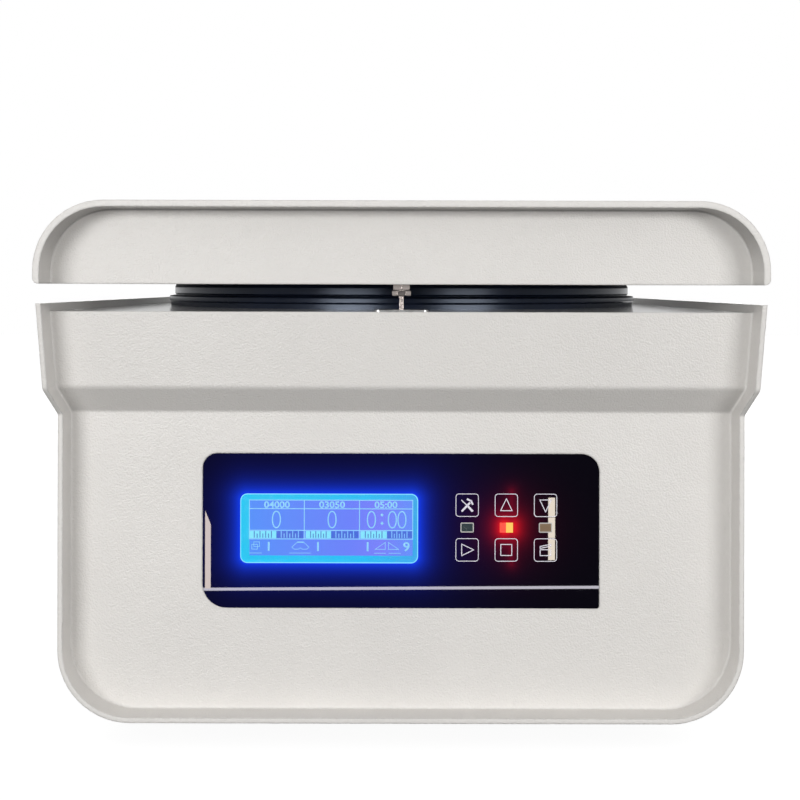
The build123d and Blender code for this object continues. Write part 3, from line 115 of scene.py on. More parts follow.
def set_inputs(node, values):
    """Set a node's inputs from their names and values."""
    for name, value in values.items():
        node.inputs[name].default_value = value


def new_material(name):
    """Node material, with its tree and its principled shader."""
    material = bpy.data.materials.new(name)
    material.use_nodes = True
    shader = material.node_tree.nodes["Principled BSDF"]
    return material, material.node_tree, shader


def place_coordinates(tree, scale=(1.0, 1.0, 1.0)):
    """Object coordinates, which are metres in the frame, with a scale for each axis."""
    coordinates = tree.nodes.new("ShaderNodeTexCoord")
    mapping = tree.nodes.new("ShaderNodeMapping")
    mapping.inputs["Scale"].default_value = scale
    tree.links.new(coordinates.outputs["Object"], mapping.inputs["Vector"])
    return mapping.outputs["Vector"]


def axis_values(tree, kind="Object"):
    """Outputs X, Y and Z of one kind of texture coordinate."""
    coordinates = tree.nodes.new("ShaderNodeTexCoord")
    apart = tree.nodes.new("ShaderNodeSeparateXYZ")
    tree.links.new(coordinates.outputs[kind], apart.inputs["Vector"])
    return apart.outputs


def noise(tree, vector, scale, detail=2.0, roughness=0.5):
    """Noise texture's value output."""
    texture = tree.nodes.new("ShaderNodeTexNoise")
    set_inputs(texture, {"Scale": scale, "Detail": detail, "Roughness": roughness})
    tree.links.new(vector, texture.inputs["Vector"])
    return texture.outputs["Fac"]


def ramp(tree, value, stops):
    """Colour ramp over a value, with stops as (position, colour)."""
    node = tree.nodes.new("ShaderNodeValToRGB")
    elements = node.color_ramp.elements
    while len(elements) < len(stops):
        elements.new(0.5)
    for element, (position, colour) in zip(elements, stops):
        element.position = position
        element.color = opaque(colour)
    tree.links.new(value, node.inputs["Fac"])
    return node.outputs["Color"]


def mottled(tree, value, colour, darker, lighter, high=noise_high):
    """Colour that a noise value moves between a darker and a lighter shade of itself."""
    return ramp(tree, value, [(noise_low, shade(colour, darker)),
                              (high, shade(colour, lighter))])


def span(tree, value, low, high, out_low, out_high):
    """Value mapped from one span to another."""
    node = tree.nodes.new("ShaderNodeMapRange")
    set_inputs(node, {"From Min": low, "From Max": high, "To Min": out_low, "To Max": out_high})
    tree.links.new(value, node.inputs["Value"])
    return node.outputs["Result"]


def math_node(tree, operation, first, second=None):
    """Math node of one or two values, each a socket or a number."""
    node = tree.nodes.new("ShaderNodeMath")
    node.operation = operation
    for index, value in enumerate((first, second)):
        if value is None:
            continue
        if isinstance(value, (int, float)):
            node.inputs[index].default_value = value
        else:
            tree.links.new(value, node.inputs[index])
    return node.outputs["Value"]


def mix_colours(tree, factor, first, second, blend="MIX"):
    """Second colour over the first one by a factor, each a socket or a value."""
    node = tree.nodes.new("ShaderNodeMix")
    node.data_type = "RGBA"
    node.blend_type = blend
    for socket, value in ((node.inputs["Factor"], factor),
                          (node.inputs[mix_first_colour], first),
                          (node.inputs[mix_second_colour], second)):
        if isinstance(value, float):
            socket.default_value = value
        elif isinstance(value, tuple):
            socket.default_value = opaque(value)
        else:
            tree.links.new(value, socket)
    return node.outputs[mix_colour_result]


def bump(tree, shader, height, strength, distance, under=None):
    """Bump from a height value, over another normal if one is given."""
    node = tree.nodes.new("ShaderNodeBump")
    set_inputs(node, {"Strength": strength, "Distance": distance})
    tree.links.new(height, node.inputs["Height"])
    if under is not None:
        tree.links.new(under, node.inputs["Normal"])
    tree.links.new(node.outputs["Normal"], shader.inputs["Normal"])
    return node.outputs["Normal"]


def soft_edges(tree, radius, samples):
    """Normal that rounds sharp edges in the shading."""
    node = tree.nodes.new("ShaderNodeBevel")
    node.samples = samples
    node.inputs["Radius"].default_value = radius
    return node.outputs["Normal"]


def distance_outside(tree, centre, half, corner):
    """Distance in metres outside a rounded rectangle on the panel's face."""
    axes = axis_values(tree)
    parts = []
    for axis, middle, reach in (("X", centre[0], half[0]), ("Z", centre[1], half[1])):
        shifted = math_node(tree, "SUBTRACT", axes[axis], middle)
        outside = math_node(tree, "SUBTRACT", math_node(tree, "ABSOLUTE", shifted),
                            reach - corner)
        parts.append(math_node(tree, "POWER", math_node(tree, "MAXIMUM", outside, 0.0), 2.0))
    total = math_node(tree, "SQRT", math_node(tree, "ADD", parts[0], parts[1]))
    return math_node(tree, "MAXIMUM", math_node(tree, "SUBTRACT", total, corner), 0.0)


def fade(tree, distance, rate):
    """Share that falls from 1 with a distance, faster with a higher rate per metre."""
    return math_node(tree, "EXPONENT", math_node(tree, "MULTIPLY", distance, -rate))


def lit_along_x(tree, shader, low, high, stops, strength):
    """Light that a surface gives off, with a colour that changes between two places on X."""
    share = span(tree, axis_values(tree)["X"], low, high, 0.0, 1.0)
    tree.links.new(ramp(tree, share, stops), shader.inputs["Emission Color"])
    shader.inputs["Emission Strength"].default_value = strength


# Finishes

housing_colour = srgb(226, 223, 219)
paint_roughness = 0.34
paint_edge_radius = 0.0018
paint_grain_scale = 1000.0
paint_grain_depth = 0.0005
paint_grain_strength = 0.8
paint_wave_scale = 0.3
paint_wave_depth = 1.6
paint_wave_strength = 0.14
# Painted shade: faces that look down are darkened to this share of the colour, from this normal Z
# on
underside_painted_shade = 0.63
painted_shade_start = -0.55
scratch_scale = 60.0


def orange_peel_paint(name, colour):
    """Sprayed structure paint: small rounded bumps, slight mottling, soft gloss, and painted shade
    that darkens faces looking down.
    """
    material, tree, shader = new_material(name)
    vector = place_coordinates(tree)
    patches = noise(tree, vector, scale=22.0, detail=3.0)
    tint = mottled(tree, patches, colour, darker=0.98, lighter=1.01)
    # Painted shade: the colour darkens where the world normal points down
    painted_shade_share = span(tree, axis_values(tree, "Normal")["Z"], painted_shade_start, 0.0, 1.0, 0.0)
    tint_with_painted_shade = mix_colours(tree, painted_shade_share, tint, shade(colour, underside_painted_shade))
    tree.links.new(tint_with_painted_shade, shader.inputs["Base Color"])
    set_inputs(shader, {"Roughness": paint_roughness, "Specular IOR Level": 0.5})
    grain = noise(tree, vector, paint_grain_scale, detail=1.5, roughness=0.4)
    grained = bump(tree, shader, grain, paint_grain_strength, paint_grain_depth,
                   under=soft_edges(tree, paint_edge_radius, samples=6))
    waves = noise(tree, vector, paint_grain_scale * paint_wave_scale)
    bump(tree, shader, waves, paint_wave_strength, paint_grain_depth * paint_wave_depth,
         under=grained)
    return material


def powder_coat(name, colour, roughness=0.42, grain_strength=0.25):
    """Smooth powder coat on sheet metal."""
    material, tree, shader = new_material(name)
    vector = place_coordinates(tree)
    patches = noise(tree, vector, scale=30.0, detail=3.0)
    tint = mottled(tree, patches, colour, darker=0.97, lighter=1.02)
    tree.links.new(tint, shader.inputs["Base Color"])
    shader.inputs["Roughness"].default_value = roughness
    grain = noise(tree, vector, scale=700.0)
    bump(tree, shader, grain, grain_strength, distance=0.0001)
    return material


def brushed_metal(name, colour, roughness=0.3, along=(1.0, 60.0, 60.0), edge_radius=0.0003):
    """Metal with fine scratches drawn out along one axis and edges that catch the light."""
    material, tree, shader = new_material(name)
    grain = noise(tree, place_coordinates(tree, along), scratch_scale, detail=4.0,
                  roughness=0.6)
    tint = mottled(tree, grain, colour, darker=0.9, lighter=1.06)
    tree.links.new(tint, shader.inputs["Base Color"])
    tree.links.new(span(tree, grain, noise_low, noise_high, roughness - 0.06, roughness + 0.08),
                   shader.inputs["Roughness"])
    shader.inputs["Metallic"].default_value = 1.0
    bump(tree, shader, grain, strength=0.15, distance=0.00004,
         under=soft_edges(tree, edge_radius, samples=4))
    return material


def cast_metal(name, colour, metallic=1.0, roughness=0.45):
    """Cast or oxidised metal with an even fine grain."""
    material, tree, shader = new_material(name)
    vector = place_coordinates(tree)
    patches = noise(tree, vector, scale=35.0, detail=4.0, roughness=0.6)
    tint = mottled(tree, patches, colour, darker=0.85, lighter=1.1, high=0.75)
    tree.links.new(tint, shader.inputs["Base Color"])
    shader.inputs["Metallic"].default_value = metallic
    tree.links.new(span(tree, patches, noise_low, noise_high, roughness - 0.07,
                        roughness + 0.1), shader.inputs["Roughness"])
    grain = noise(tree, vector, scale=450.0, detail=3.0)
    bump(tree, shader, grain, strength=0.3, distance=0.0001)
    return material


def moulded(name, colour, roughness=0.4, grain=600.0, depth=0.00006):
    """Moulded plastic or rubber with a fine grain."""
    material, tree, shader = new_material(name)
    vector = place_coordinates(tree)
    patches = noise(tree, vector, scale=40.0, detail=3.0)
    tint = mottled(tree, patches, colour, darker=0.9, lighter=1.12)
    tree.links.new(tint, shader.inputs["Base Color"])
    shader.inputs["Roughness"].default_value = roughness
    bump(tree, shader, noise(tree, vector, grain), strength=0.3, distance=depth)
    return material


def gasket_rubber(name):
    """Black rubber ring with a blue sheen from its release wax."""
    material, tree, shader = new_material(name)
    patches = noise(tree, place_coordinates(tree), scale=26.0, detail=3.0)
    tint = ramp(tree, patches, [(noise_low, (0.006, 0.009, 0.019)),
                                (noise_high, (0.010, 0.015, 0.034))])
    tree.links.new(tint, shader.inputs["Base Color"])
    set_inputs(shader, {"Roughness": 0.24, "Specular IOR Level": 0.34,
                        "Specular Tint": opaque((0.72, 0.82, 1.0))})
    return material


def circuit_board(name):
    """Green solder mask with lighter tracks."""
    material, tree, shader = new_material(name)
    brick = tree.nodes.new("ShaderNodeTexBrick")
    set_inputs(brick, {"Scale": 240.0, "Mortar Size": 0.03,
                       "Color1": opaque((0.010, 0.10, 0.045)),
                       "Color2": opaque((0.014, 0.12, 0.055)),
                       "Mortar": opaque((0.05, 0.24, 0.11))})
    tree.links.new(place_coordinates(tree), brick.inputs["Vector"])
    tree.links.new(brick.outputs["Color"], shader.inputs["Base Color"])
    shader.inputs["Roughness"].default_value = 0.3
    return material


def glow(name, colour, strength, base=(0.02, 0.02, 0.02)):
    """Lit surface."""
    material, tree, shader = new_material(name)
    set_inputs(shader, {"Base Color": opaque(base), "Emission Color": opaque(colour),
                        "Emission Strength": strength, "Roughness": 0.3})
    return material


def gloss_with_painted_glow(name):
    """Glossy black plate with a painted glow from within: blue around the display, red with a
    streak beside the red indicator.
    """
    material, tree, shader = new_material(name)
    set_inputs(shader, {"Base Color": opaque((0.0035, 0.0030, 0.0055)), "Roughness": 0.012,
                        "Specular IOR Level": 0.45, "Emission Strength": 1.0})
    # Painted glow: blue light given off by the plate around the display
    display = distance_outside(tree, display_centre, display_half, display_corner)
    blue = mix_colours(tree, fade(tree, display, rate=46.0), black, srgb(6, 12, 82))
    blue = mix_colours(tree, fade(tree, display, rate=215.0), blue, srgb(16, 60, 235))
    # Painted glow: red light and a red streak given off by the plate beside the red indicator
    spot = distance_outside(tree, (red_led_x + 0.001, led_middle_z), half=(0.0042, 0.0032),
                            corner=0.002)
    red = mix_colours(tree, fade(tree, spot, rate=95.0), black, srgb(72, 2, 14))
    red = mix_colours(tree, fade(tree, spot, rate=330.0), red, srgb(238, 22, 22))
    streak = distance_outside(tree, (red_led_x + 0.0032, led_middle_z), half=(0.0006, 0.0230),
                              corner=0.0005)
    streak_share = math_node(tree, "MULTIPLY", fade(tree, streak, rate=420.0), 0.5)
    red = mix_colours(tree, streak_share, red, srgb(120, 6, 22))
    both = mix_colours(tree, 1.0, blue, red, blend="ADD")
    tree.links.new(both, shader.inputs["Emission Color"])
    return material


def clear_pane(name):
    """Thin clear pane over the display."""
    material, tree, shader = new_material(name)
    set_inputs(shader, {"Base Color": opaque((0.9, 0.97, 1.0)), "Roughness": 0.04, "IOR": 1.0,
                        "Transmission Weight": 1.0, "Coat Weight": 0.6,
                        "Coat Roughness": 0.04})
    return material


def backlight(name):
    """Lit edge of the display module, cyan at the left and bluer at the right."""
    material, tree, shader = new_material(name)
    set_inputs(shader, {"Base Color": opaque((0.02, 0.02, 0.02)), "Roughness": 0.3})
    stops = [(0.0, srgb(4, 206, 250)), (0.7, srgb(24, 196, 250)), (1.0, srgb(52, 172, 240))]
    lit_along_x(tree, shader, pane_low.x, pane_high.x, stops, 0.95)
    return material


finishes = {}


def finish(maker, name, *values, **settings):
    """Make a finish and keep it under the name of its slot."""
    finishes[name] = maker(name, *values, **settings)


finish(orange_peel_paint, "housing_white", housing_colour)
finish(powder_coat, "deck_grey", srgb(224, 223, 221), roughness=0.10, grain_strength=0.03)
finish(powder_coat, "liner_white", srgb(206, 205, 203))
finish(powder_coat, "rear_grey", srgb(168, 170, 172))
finish(cast_metal, "galvanised", (0.58, 0.59, 0.60), roughness=0.36)
finish(brushed_metal, "stainless", (0.60, 0.60, 0.60), roughness=0.28)
finish(cast_metal, "armour_steel", (0.05, 0.052, 0.06), metallic=0.8, roughness=0.5)
finish(brushed_metal, "zinc_screw", (0.60, 0.60, 0.61), roughness=0.42)
finish(brushed_metal, "bright_steel", (0.56, 0.50, 0.47), roughness=0.2, edge_radius=0.0009)
finish(gasket_rubber, "gasket_rubber")
finish(moulded, "boot_rubber", (0.018, 0.018, 0.019), roughness=0.6)
finish(moulded, "foot_rubber", (0.022, 0.022, 0.023), roughness=0.65)
finish(cast_metal, "motor_aluminium", (0.52, 0.53, 0.54))
finish(brushed_metal, "stator_steel", (0.30, 0.31, 0.32), roughness=0.4, along=(1, 1, 90.0))
finish(brushed_metal, "copper", (0.66, 0.27, 0.10), along=(1, 1, 60.0))
finish(brushed_metal, "bearing_steel", (0.68, 0.69, 0.70), roughness=0.18)
finish(brushed_metal, "rotor_aluminium", (0.66, 0.67, 0.69))
finish(brushed_metal, "bucket_aluminium", (0.70, 0.71, 0.73), along=(1, 1, 40.0))
finish(brushed_metal, "magnet_core", (0.26, 0.26, 0.28), roughness=0.35)
finish(cast_metal, "heatsink_black", (0.02, 0.02, 0.022), metallic=0.4, roughness=0.42)
finish(circuit_board, "board_green")
# The panel plate and the keys both get this painted glow, placed by position
finish(gloss_with_painted_glow, "panel_black")
finish(clear_pane, "display_pane")
finish(backlight, "lcd_body")
finish(gloss_with_painted_glow, "key_black")
finish(moulded, "lens_smoke", (0.03, 0.045, 0.045), roughness=0.2, grain=900.0, depth=0.00002)
finish(moulded, "switch_body", (0.016, 0.016, 0.018), roughness=0.42)
finish(moulded, "rocker_black", (0.012, 0.012, 0.013), roughness=0.22)
finish(cast_metal, "solenoid_coil", (0.46, 0.47, 0.48), roughness=0.34)
finish(brushed_metal, "pin_brass", (0.78, 0.72, 0.52), roughness=0.2)
finish(moulded, "fan_black", (0.016, 0.016, 0.018))

slot_of = {row["node"]: row["material_slot"] for row in frame["record"]["subparts"]}


def dress_frame():
    """Give each node of the frame its finish."""
    for name, obj in nodes.items():
        obj.data.materials.clear()
        obj.data.materials.append(finishes[slot_of[name]])


dress_frame()


# Outlines and thin solids


def link(obj, body, material):
    """Put a new piece in the scene, on its body and material."""
    bpy.context.scene.collection.objects.link(obj)
    obj.data.materials.append(material)
    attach(obj, body)
    return obj


def flat_solid(name, loops, y, depth):
    """Thin solid from closed outlines on a face toward -Y; each loop is a list of (X, Z)."""
    mesh = bpy.data.meshes.new(name)
    build = bmesh.new()
    for loop in loops:
        front = [build.verts.new((x, y - depth, z)) for x, z in loop]
        back = [build.verts.new((x, y, z)) for x, z in loop]
        build.faces.new(front)
        build.faces.new(list(reversed(back)))
        count = len(loop)
        for index in range(count):
            after = (index + 1) % count
            build.faces.new((front[after], front[index], back[index], back[after]))
    bmesh.ops.recalc_face_normals(build, faces=build.faces)
    build.to_mesh(mesh)
    build.free()
    return bpy.data.objects.new(name, mesh)


def stroke(points, width, closed=False):
    """Outlines of a line of even width along points, one four-sided loop for each run."""
    loops = []
    count = len(points) if closed else len(points) - 1
    for index in range(count):
        start = Vector(points[index])
        end = Vector(points[(index + 1) % len(points)])
        along = (end - start).normalized() * width / 2
        across = Vector((-along.y, along.x))
        loops.append([tuple(start - along + across), tuple(start - along - across),
                      tuple(end + along - across), tuple(end + along + across)])
    return loops


def band(outer, inner):
    """Loops that fill the space between two outlines with the same number of points."""
    count = len(outer)
    return [[outer[i], inner[i], inner[(i + 1) % count], outer[(i + 1) % count]]
            for i in range(count)]


def rounded_outline(centre, half, corner, steps=6):
    """Points of a rounded rectangle."""
    points = []
    for quarter, (sx, sz) in enumerate(((1, 1), (-1, 1), (-1, -1), (1, -1))):
        middle_x = centre[0] + sx * (half[0] - corner)
        middle_z = centre[1] + sz * (half[1] - corner)
        for step in range(steps + 1):
            angle = pi / 2 * (quarter + step / steps)
            points.append((middle_x + corner * cos(angle), middle_z + corner * sin(angle)))
    return points


def ring_outline(centre, half, corner, width):
    """Loops of a rounded rectangular line that lies inside its outline."""
    outer = rounded_outline(centre, half, corner)
    inner = rounded_outline(centre, (half[0] - width, half[1] - width), corner - width)
    return band(outer, inner)


def triangle(centre, size, turn):
    """Points of a triangle with its tip turned from straight up by an angle."""
    corners = ((0.0, 0.55), (-0.48, -0.45), (0.48, -0.45))
    points = []
    for x, z in corners:
        points.append((centre[0] + size * (x * cos(turn) - z * sin(turn)),
                       centre[1] + size * (x * sin(turn) + z * cos(turn))))
    return points


def around(centre, offsets):
    """Points at offsets from a centre."""
    return [(centre[0] + x, centre[1] + z) for x, z in offsets]


# Marks on the keys and the indicators

key_half = 0.00715
key_corner = 0.0020
key_line = 0.00042
mark_line = 0.00050
mark_lift = 0.00003
triangle_size = 0.0074
stop_half = 0.0034
tray_half = 0.0033
# Printed marks that also give off a weak painted glow
print_with_painted_glow = glow("print_grey", srgb(196, 194, 204), 0.42, base=srgb(196, 194, 202))


def tool_sign(centre):
    """Loops of a hammer crossed with a screwdriver."""
    handle = around(centre, ((-0.0030, -0.0034), (0.0014, 0.0012)))
    head = around(centre, ((0.0003, 0.0036), (0.0024, 0.0026), (0.0033, 0.0008)))
    shank = around(centre, ((-0.0034, 0.0030), (0.0004, -0.0006)))
    grip = around(centre, ((0.0010, -0.0012), (0.0030, -0.0034)))
    return (stroke(handle, width=0.0012) + stroke(head, width=0.0011)
            + stroke(shank, width=0.0006) + stroke(grip, width=0.0013))


def open_lid_sign(centre):
    """Loops of a tray with a slanted lid above it."""
    half = tray_half
    tray = around(centre, ((-half, 0.0002), (-half, -0.0034), (half, -0.0034), (half, 0.0002)))
    lid = around(centre, ((-half, 0.0010), (-half, 0.0022), (half, 0.0036), (half, 0.0024)))
    return stroke(tray, mark_line, True) + stroke(lid, mark_line, True)


def key_sign(name, centre):
    """Loops of the sign on a key."""
    turns = {"key_up": 0.0, "key_down": pi, "key_start": -pi / 2}
    if name in turns:
        return stroke(triangle(centre, triangle_size, turns[name]), mark_line, True)
    if name == "key_stop":
        half = stop_half
        square = around(centre, ((-half, -half), (half, -half), (half, half), (-half, half)))
        return stroke(square, mark_line, True)
    if name == "key_set":
        return tool_sign(centre)
    return open_lid_sign(centre)


def key_prints():
    """Outline and sign printed on each key."""
    for name, box in key_boxes.items():
        centre = middle_of(box)
        loops = ring_outline(centre, (key_half, key_half), key_corner, key_line)
        loops += key_sign(name, centre)
        piece = flat_solid(name + "_print", loops, box[0].y - mark_lift / 2, mark_lift)
        link(piece, name, print_with_painted_glow)


led_half = (0.0041, 0.00305)
led_corner = 0.0008
led_window_corner = 0.0004
led_rim = 0.0006
led_lead = 0.00030
led_split = -0.0002


def indicator(name, loops, y, depth, material):
    """Thin solid on the indicators' windows."""
    link(flat_solid(name, loops, y, depth), "cabinet", material)


def indicator_faces():
    """Face of each indicator: a dark one, a lit red one and an unlit amber one. The rims, the dark
    window, its leads and the amber window give off a weak painted glow.
    """
    y = led_box[0].y - mark_lift / 2
    left, middle, right = [middle_of(key_boxes[name])[0]
                           for name in ("key_set", "key_up", "key_down")]
    rims = []
    for x in (left, right):
        rims += ring_outline((x, led_middle_z), led_half, led_corner, led_rim)
    # Painted glow: the rims, the dark window and its leads give off light though unlit
    indicator("indicator_rims", rims, y, mark_lift * 2,
              glow("indicator_rim", srgb(164, 160, 152), 0.55, base=srgb(150, 150, 150)))
    inner = (led_half[0] - led_rim, led_half[1] - led_rim)
    dark_window = rounded_outline((left, led_middle_z), inner, led_window_corner)
    indicator("indicator_window_left", [dark_window], y, mark_lift,
              glow("indicator_dark", srgb(34, 48, 52), 0.7, base=srgb(26, 36, 38)))
    leads = around((left, led_middle_z), ((-0.0022, 0.0004), (-0.0002, -0.0009),
                                          (-0.0008, -0.0020)))
    indicator("indicator_chip_left", stroke(leads, led_lead), y - mark_lift, mark_lift,
              glow("indicator_chip", srgb(120, 128, 126), 0.4))
    split = middle + led_split
    low, high = led_middle_z - led_half[1], led_middle_z + led_half[1]
    lit_halves = (("left", middle - led_half[0], split,
                   glow("indicator_orange", srgb(255, 72, 50), 1.0)),
                  ("right", split, middle + led_half[0],
                   glow("indicator_yellow", srgb(255, 196, 84), 1.05)))
    for side, x0, x1, material in lit_halves:
        indicator("indicator_lit_" + side, [[(x0, low), (x1, low), (x1, high), (x0, high)]],
                  y, mark_lift, material)
    # Painted glow: the unlit amber window gives off light
    amber_window = rounded_outline((right, led_middle_z), inner, led_window_corner)
    indicator("indicator_window_right", [amber_window], y, mark_lift,
              glow("indicator_amber", srgb(104, 84, 62), 0.7, base=srgb(90, 74, 56)))


# Display picture, on the face of the display module

lcd_half = (0.0506, 0.01720)
lcd_middle = (display_centre[0] + 0.0010, display_centre[1] - 0.0002)
lcd_layer = 0.00006
lcd_line = 0.00052
sign_line = 0.00032
underline_line = 0.00030
bar_line = 0.00055
bar_count = 7
numeral_weight = 0.00013
outline_line = 0.00055
zero_line = 0.00072
zero_points = 28
zero_pinch = 0.9
zero_half_width = lcd_half[0] * 0.056
zero_half_height = lcd_half[1] * 0.315
colon_half = 0.00105

# Shares of the picture's width and height, from its top left corner
column_lines = (0.336, 0.674)
row_lines = (0.155, 0.545, 0.70)
label_top, label_bottom = row_lines[1:]
label_margin = 0.012
light_cells = ((0.0, 0.165), (0.345, 0.500), (0.680, 0.842))
dark_cells = ((0.165, 0.330), (0.500, 0.668), (0.842, 0.995))
bar_inset = 0.03
bar_top = 0.048
long_bar = 0.052
short_bar = 0.030
zero_row = 0.350
zero_columns = (0.165, 0.506, 0.747, 0.875, 0.934)
colon_column = 0.812
sign_bottom = 0.885
underline_row = 0.955


def lcd_point(u, v):
    """Point on the display picture from shares of its width and height, from the top left."""
    return (lcd_middle[0] + (2 * u - 1) * lcd_half[0], lcd_middle[1] + (1 - 2 * v) * lcd_half[1])


def lcd_points(*shares):
    """Points on the display picture."""
    return [lcd_point(u, v) for u, v in shares]


def lcd_rectangle(u0, v0, u1, v1):
    """Outline of a rectangle given in shares of the picture."""
    return lcd_points((u0, v1), (u1, v1), (u1, v0), (u0, v0))


def layer_y(layer):
    """Back of a layer of the picture, counted from the face of the display module."""
    return lcd_face_y - layer * lcd_layer


def on_display(name, loops, layer, material):
    """Thin solid in one layer of the display picture."""
    link(flat_solid(name, loops, layer_y(layer), lcd_layer), "cabinet", material)


def lcd_field_material():
    """Periwinkle field, bluer at the left and redder in the middle and at the right."""
    material, tree, shader = new_material("lcd_field")
    set_inputs(shader, {"Base Color": opaque(black), "Specular IOR Level": 0.0})
    stops = [(0.0, srgb(98, 152, 255)), (0.25, srgb(108, 146, 255)), (0.62, srgb(118, 136, 255)),
             (0.8, srgb(132, 136, 255)), (1.0, srgb(112, 150, 255))]
    lit_along_x(tree, shader, lcd_middle[0] - lcd_half[0], lcd_middle[0] + lcd_half[0], stops, 1.0)
    return material


def numeral_mesh(text, centre, height, squeeze):
    """Mesh of one line of numerals in Blender's own font, centred on a point."""
    curve = bpy.data.curves.new("numerals", "FONT")
    curve.body = text
    curve.align_x = "CENTER"
    curve.align_y = "CENTER"
    curve.size = height
    curve.resolution_u = 4
    curve.extrude = lcd_layer / 2
    curve.offset = numeral_weight
    obj = bpy.data.objects.new("numerals", curve)
    bpy.context.scene.collection.objects.link(obj)
    obj.rotation_euler = (pi / 2, 0, 0)
    obj.scale = (squeeze, 1.0, 1.0)
    obj.location = (centre[0], 0.0, centre[1])
    bpy.context.view_layer.update()
    mesh = bpy.data.meshes.new_from_object(obj)
    mesh.transform(obj.matrix_world)
    bpy.data.objects.remove(obj)
    return mesh


def numerals(name, texts, y, material):
    """One piece of several lines of numerals; each is (text, centre, height, squeeze)."""
    build = bmesh.new()
    for text, centre, height, squeeze in texts:
        mesh = numeral_mesh(text, centre, height, squeeze)
        mesh.transform(Matrix.Translation((0, y, 0)))
        build.from_mesh(mesh)
        bpy.data.meshes.remove(mesh)
    mesh = bpy.data.meshes.new(name)
    build.to_mesh(mesh)
    build.free()
    return link(bpy.data.objects.new(name, mesh), "cabinet", material)


def display_texts():
    """Numerals in the top row and beside the signs, as (text, centre, height, squeeze)."""
    top_v, top_height, top_squeeze = 0.088, 0.0056, 1.15
    low_v, low_height, low_squeeze = 0.845, 0.0078, 1.1
    top_row = (("04000", 0.168), ("03050", 0.506), ("05:00", 0.836))
    low_row = (("1", 0.118), ("1", 0.420), ("1", 0.724), ("9", 0.962))
    texts = [(text, lcd_point(u, top_v), top_height, top_squeeze) for text, u in top_row]
    texts += [(text, lcd_point(u, low_v), low_height, low_squeeze) for text, u in low_row]
    return texts


def big_zero(centre):
    """Loops of a tall thin zero with pointed ends, as on a dot display."""
    outer, inner = [], []
    inner_half_width = zero_half_width - zero_line
    inner_half_height = zero_half_height - zero_line
    for index in range(zero_points):
        angle = 2 * pi * index / zero_points
        x, z = cos(angle), sin(angle)
        bulge = abs(x) ** zero_pinch * (1 if x >= 0 else -1)
        outer.append((centre[0] + zero_half_width * bulge, centre[1] + zero_half_height * z))
        inner.append((centre[0] + inner_half_width * bulge, centre[1] + inner_half_height * z))
    return band(outer, inner)


def big_zeros():
    """Loops of the tall zeros and the colon in the middle row."""
    loops = []
    for u in zero_columns:
        loops += big_zero(lcd_point(u, zero_row))
    for drop in (-0.085, 0.065):
        dot = lcd_point(colon_column, zero_row + drop)
        loops.append(around(dot, ((colon_half, 0.0), (0.0, colon_half), (-colon_half, 0.0),
                                  (0.0, -colon_half))))
    return loops


def display_signs():
    """Loops of the signs in the bottom row: stacked sheets, rotor and two ramps."""
    left, right, top = 0.015, 0.050, 0.80
    loops = []
    for du, dv in ((0.0, 0.0), (0.012, -0.045)):
        sheet = lcd_points((left + du, top + dv), (right + du, top + dv),
                           (right + du, sign_bottom + dv), (left + du, sign_bottom + dv))
        loops += stroke(sheet, sign_line, True)
    rotor = lcd_points((0.290, 0.765), (0.335, 0.765), (0.365, 0.85), (0.350, sign_bottom),
                       (0.325, sign_bottom), (0.3125, 0.86), (0.300, sign_bottom),
                       (0.275, sign_bottom), (0.260, 0.85))
    loops += stroke(rotor, sign_line, True)
    loops += stroke(lcd_points((0.295, 0.755), (0.330, 0.755)), sign_line * 1.6)
    rising = lcd_points((0.770, sign_bottom), (0.832, sign_bottom), (0.832, 0.76))
    falling = lcd_points((0.852, sign_bottom), (0.914, sign_bottom), (0.852, 0.76))
    loops += stroke(rising, sign_line, True) + stroke(falling, sign_line, True)
    for u0, u1 in ((0.0, 0.075), (0.245, 0.375), (0.765, 0.835), (0.855, 0.925)):
        loops += stroke(lcd_points((u0, underline_row), (u1, underline_row)), underline_line)
    return loops


def display_lines():
    """Loops of the lines between the rows and the columns, and around them."""
    loops = []
    for v in row_lines:
        loops += stroke(lcd_points((0.0, v), (1.0, v)), lcd_line)
    for u in column_lines:
        loops += stroke(lcd_points((u, 0.0), (u, label_bottom)), lcd_line)
    loops += stroke(lcd_points((0.0, 0.0), (1.0, 0.0)), lcd_line)
    for u in (0.0, 1.0):
        loops += stroke(lcd_points((u, 0.0), (u, label_bottom)), lcd_line)
    return loops


def unit_bars(u0, u1, v):
    """Short upright bars of a scale, a long and a short one in turn."""
    bars = []
    for index in range(bar_count):
        u = u0 + (u1 - u0) * index / (bar_count - 1)
        reach = long_bar if index % 2 == 0 else short_bar
        bars += stroke(lcd_points((u, v + bar_top), (u, v + bar_top - 2 * reach)), bar_line)
    return bars


def label_row():
    """Light and dark cells between the numerals and the signs, with bars on them."""
    v0, v1 = label_top + label_margin, label_bottom - label_margin
    for kind, cells, colour in (("light", light_cells, srgb(138, 232, 255)),
                                ("dark", dark_cells, srgb(66, 104, 222))):
        loops = [lcd_rectangle(u0, v0, u1, v1) for u0, u1 in cells]
        on_display("display_cells_" + kind, loops, 2, glow("lcd_cell_" + kind, colour, 1.0))
    for kind, cells, colour in (("dark", light_cells, srgb(58, 112, 206)),
                                ("pale", dark_cells, srgb(146, 204, 252))):
        loops = []
        for u0, u1 in cells:
            loops += unit_bars(u0 + bar_inset, u1 - bar_inset, (v0 + v1) / 2)
        on_display("display_bars_" + kind, loops, 3, glow("lcd_bar_" + kind, colour, 1.0))


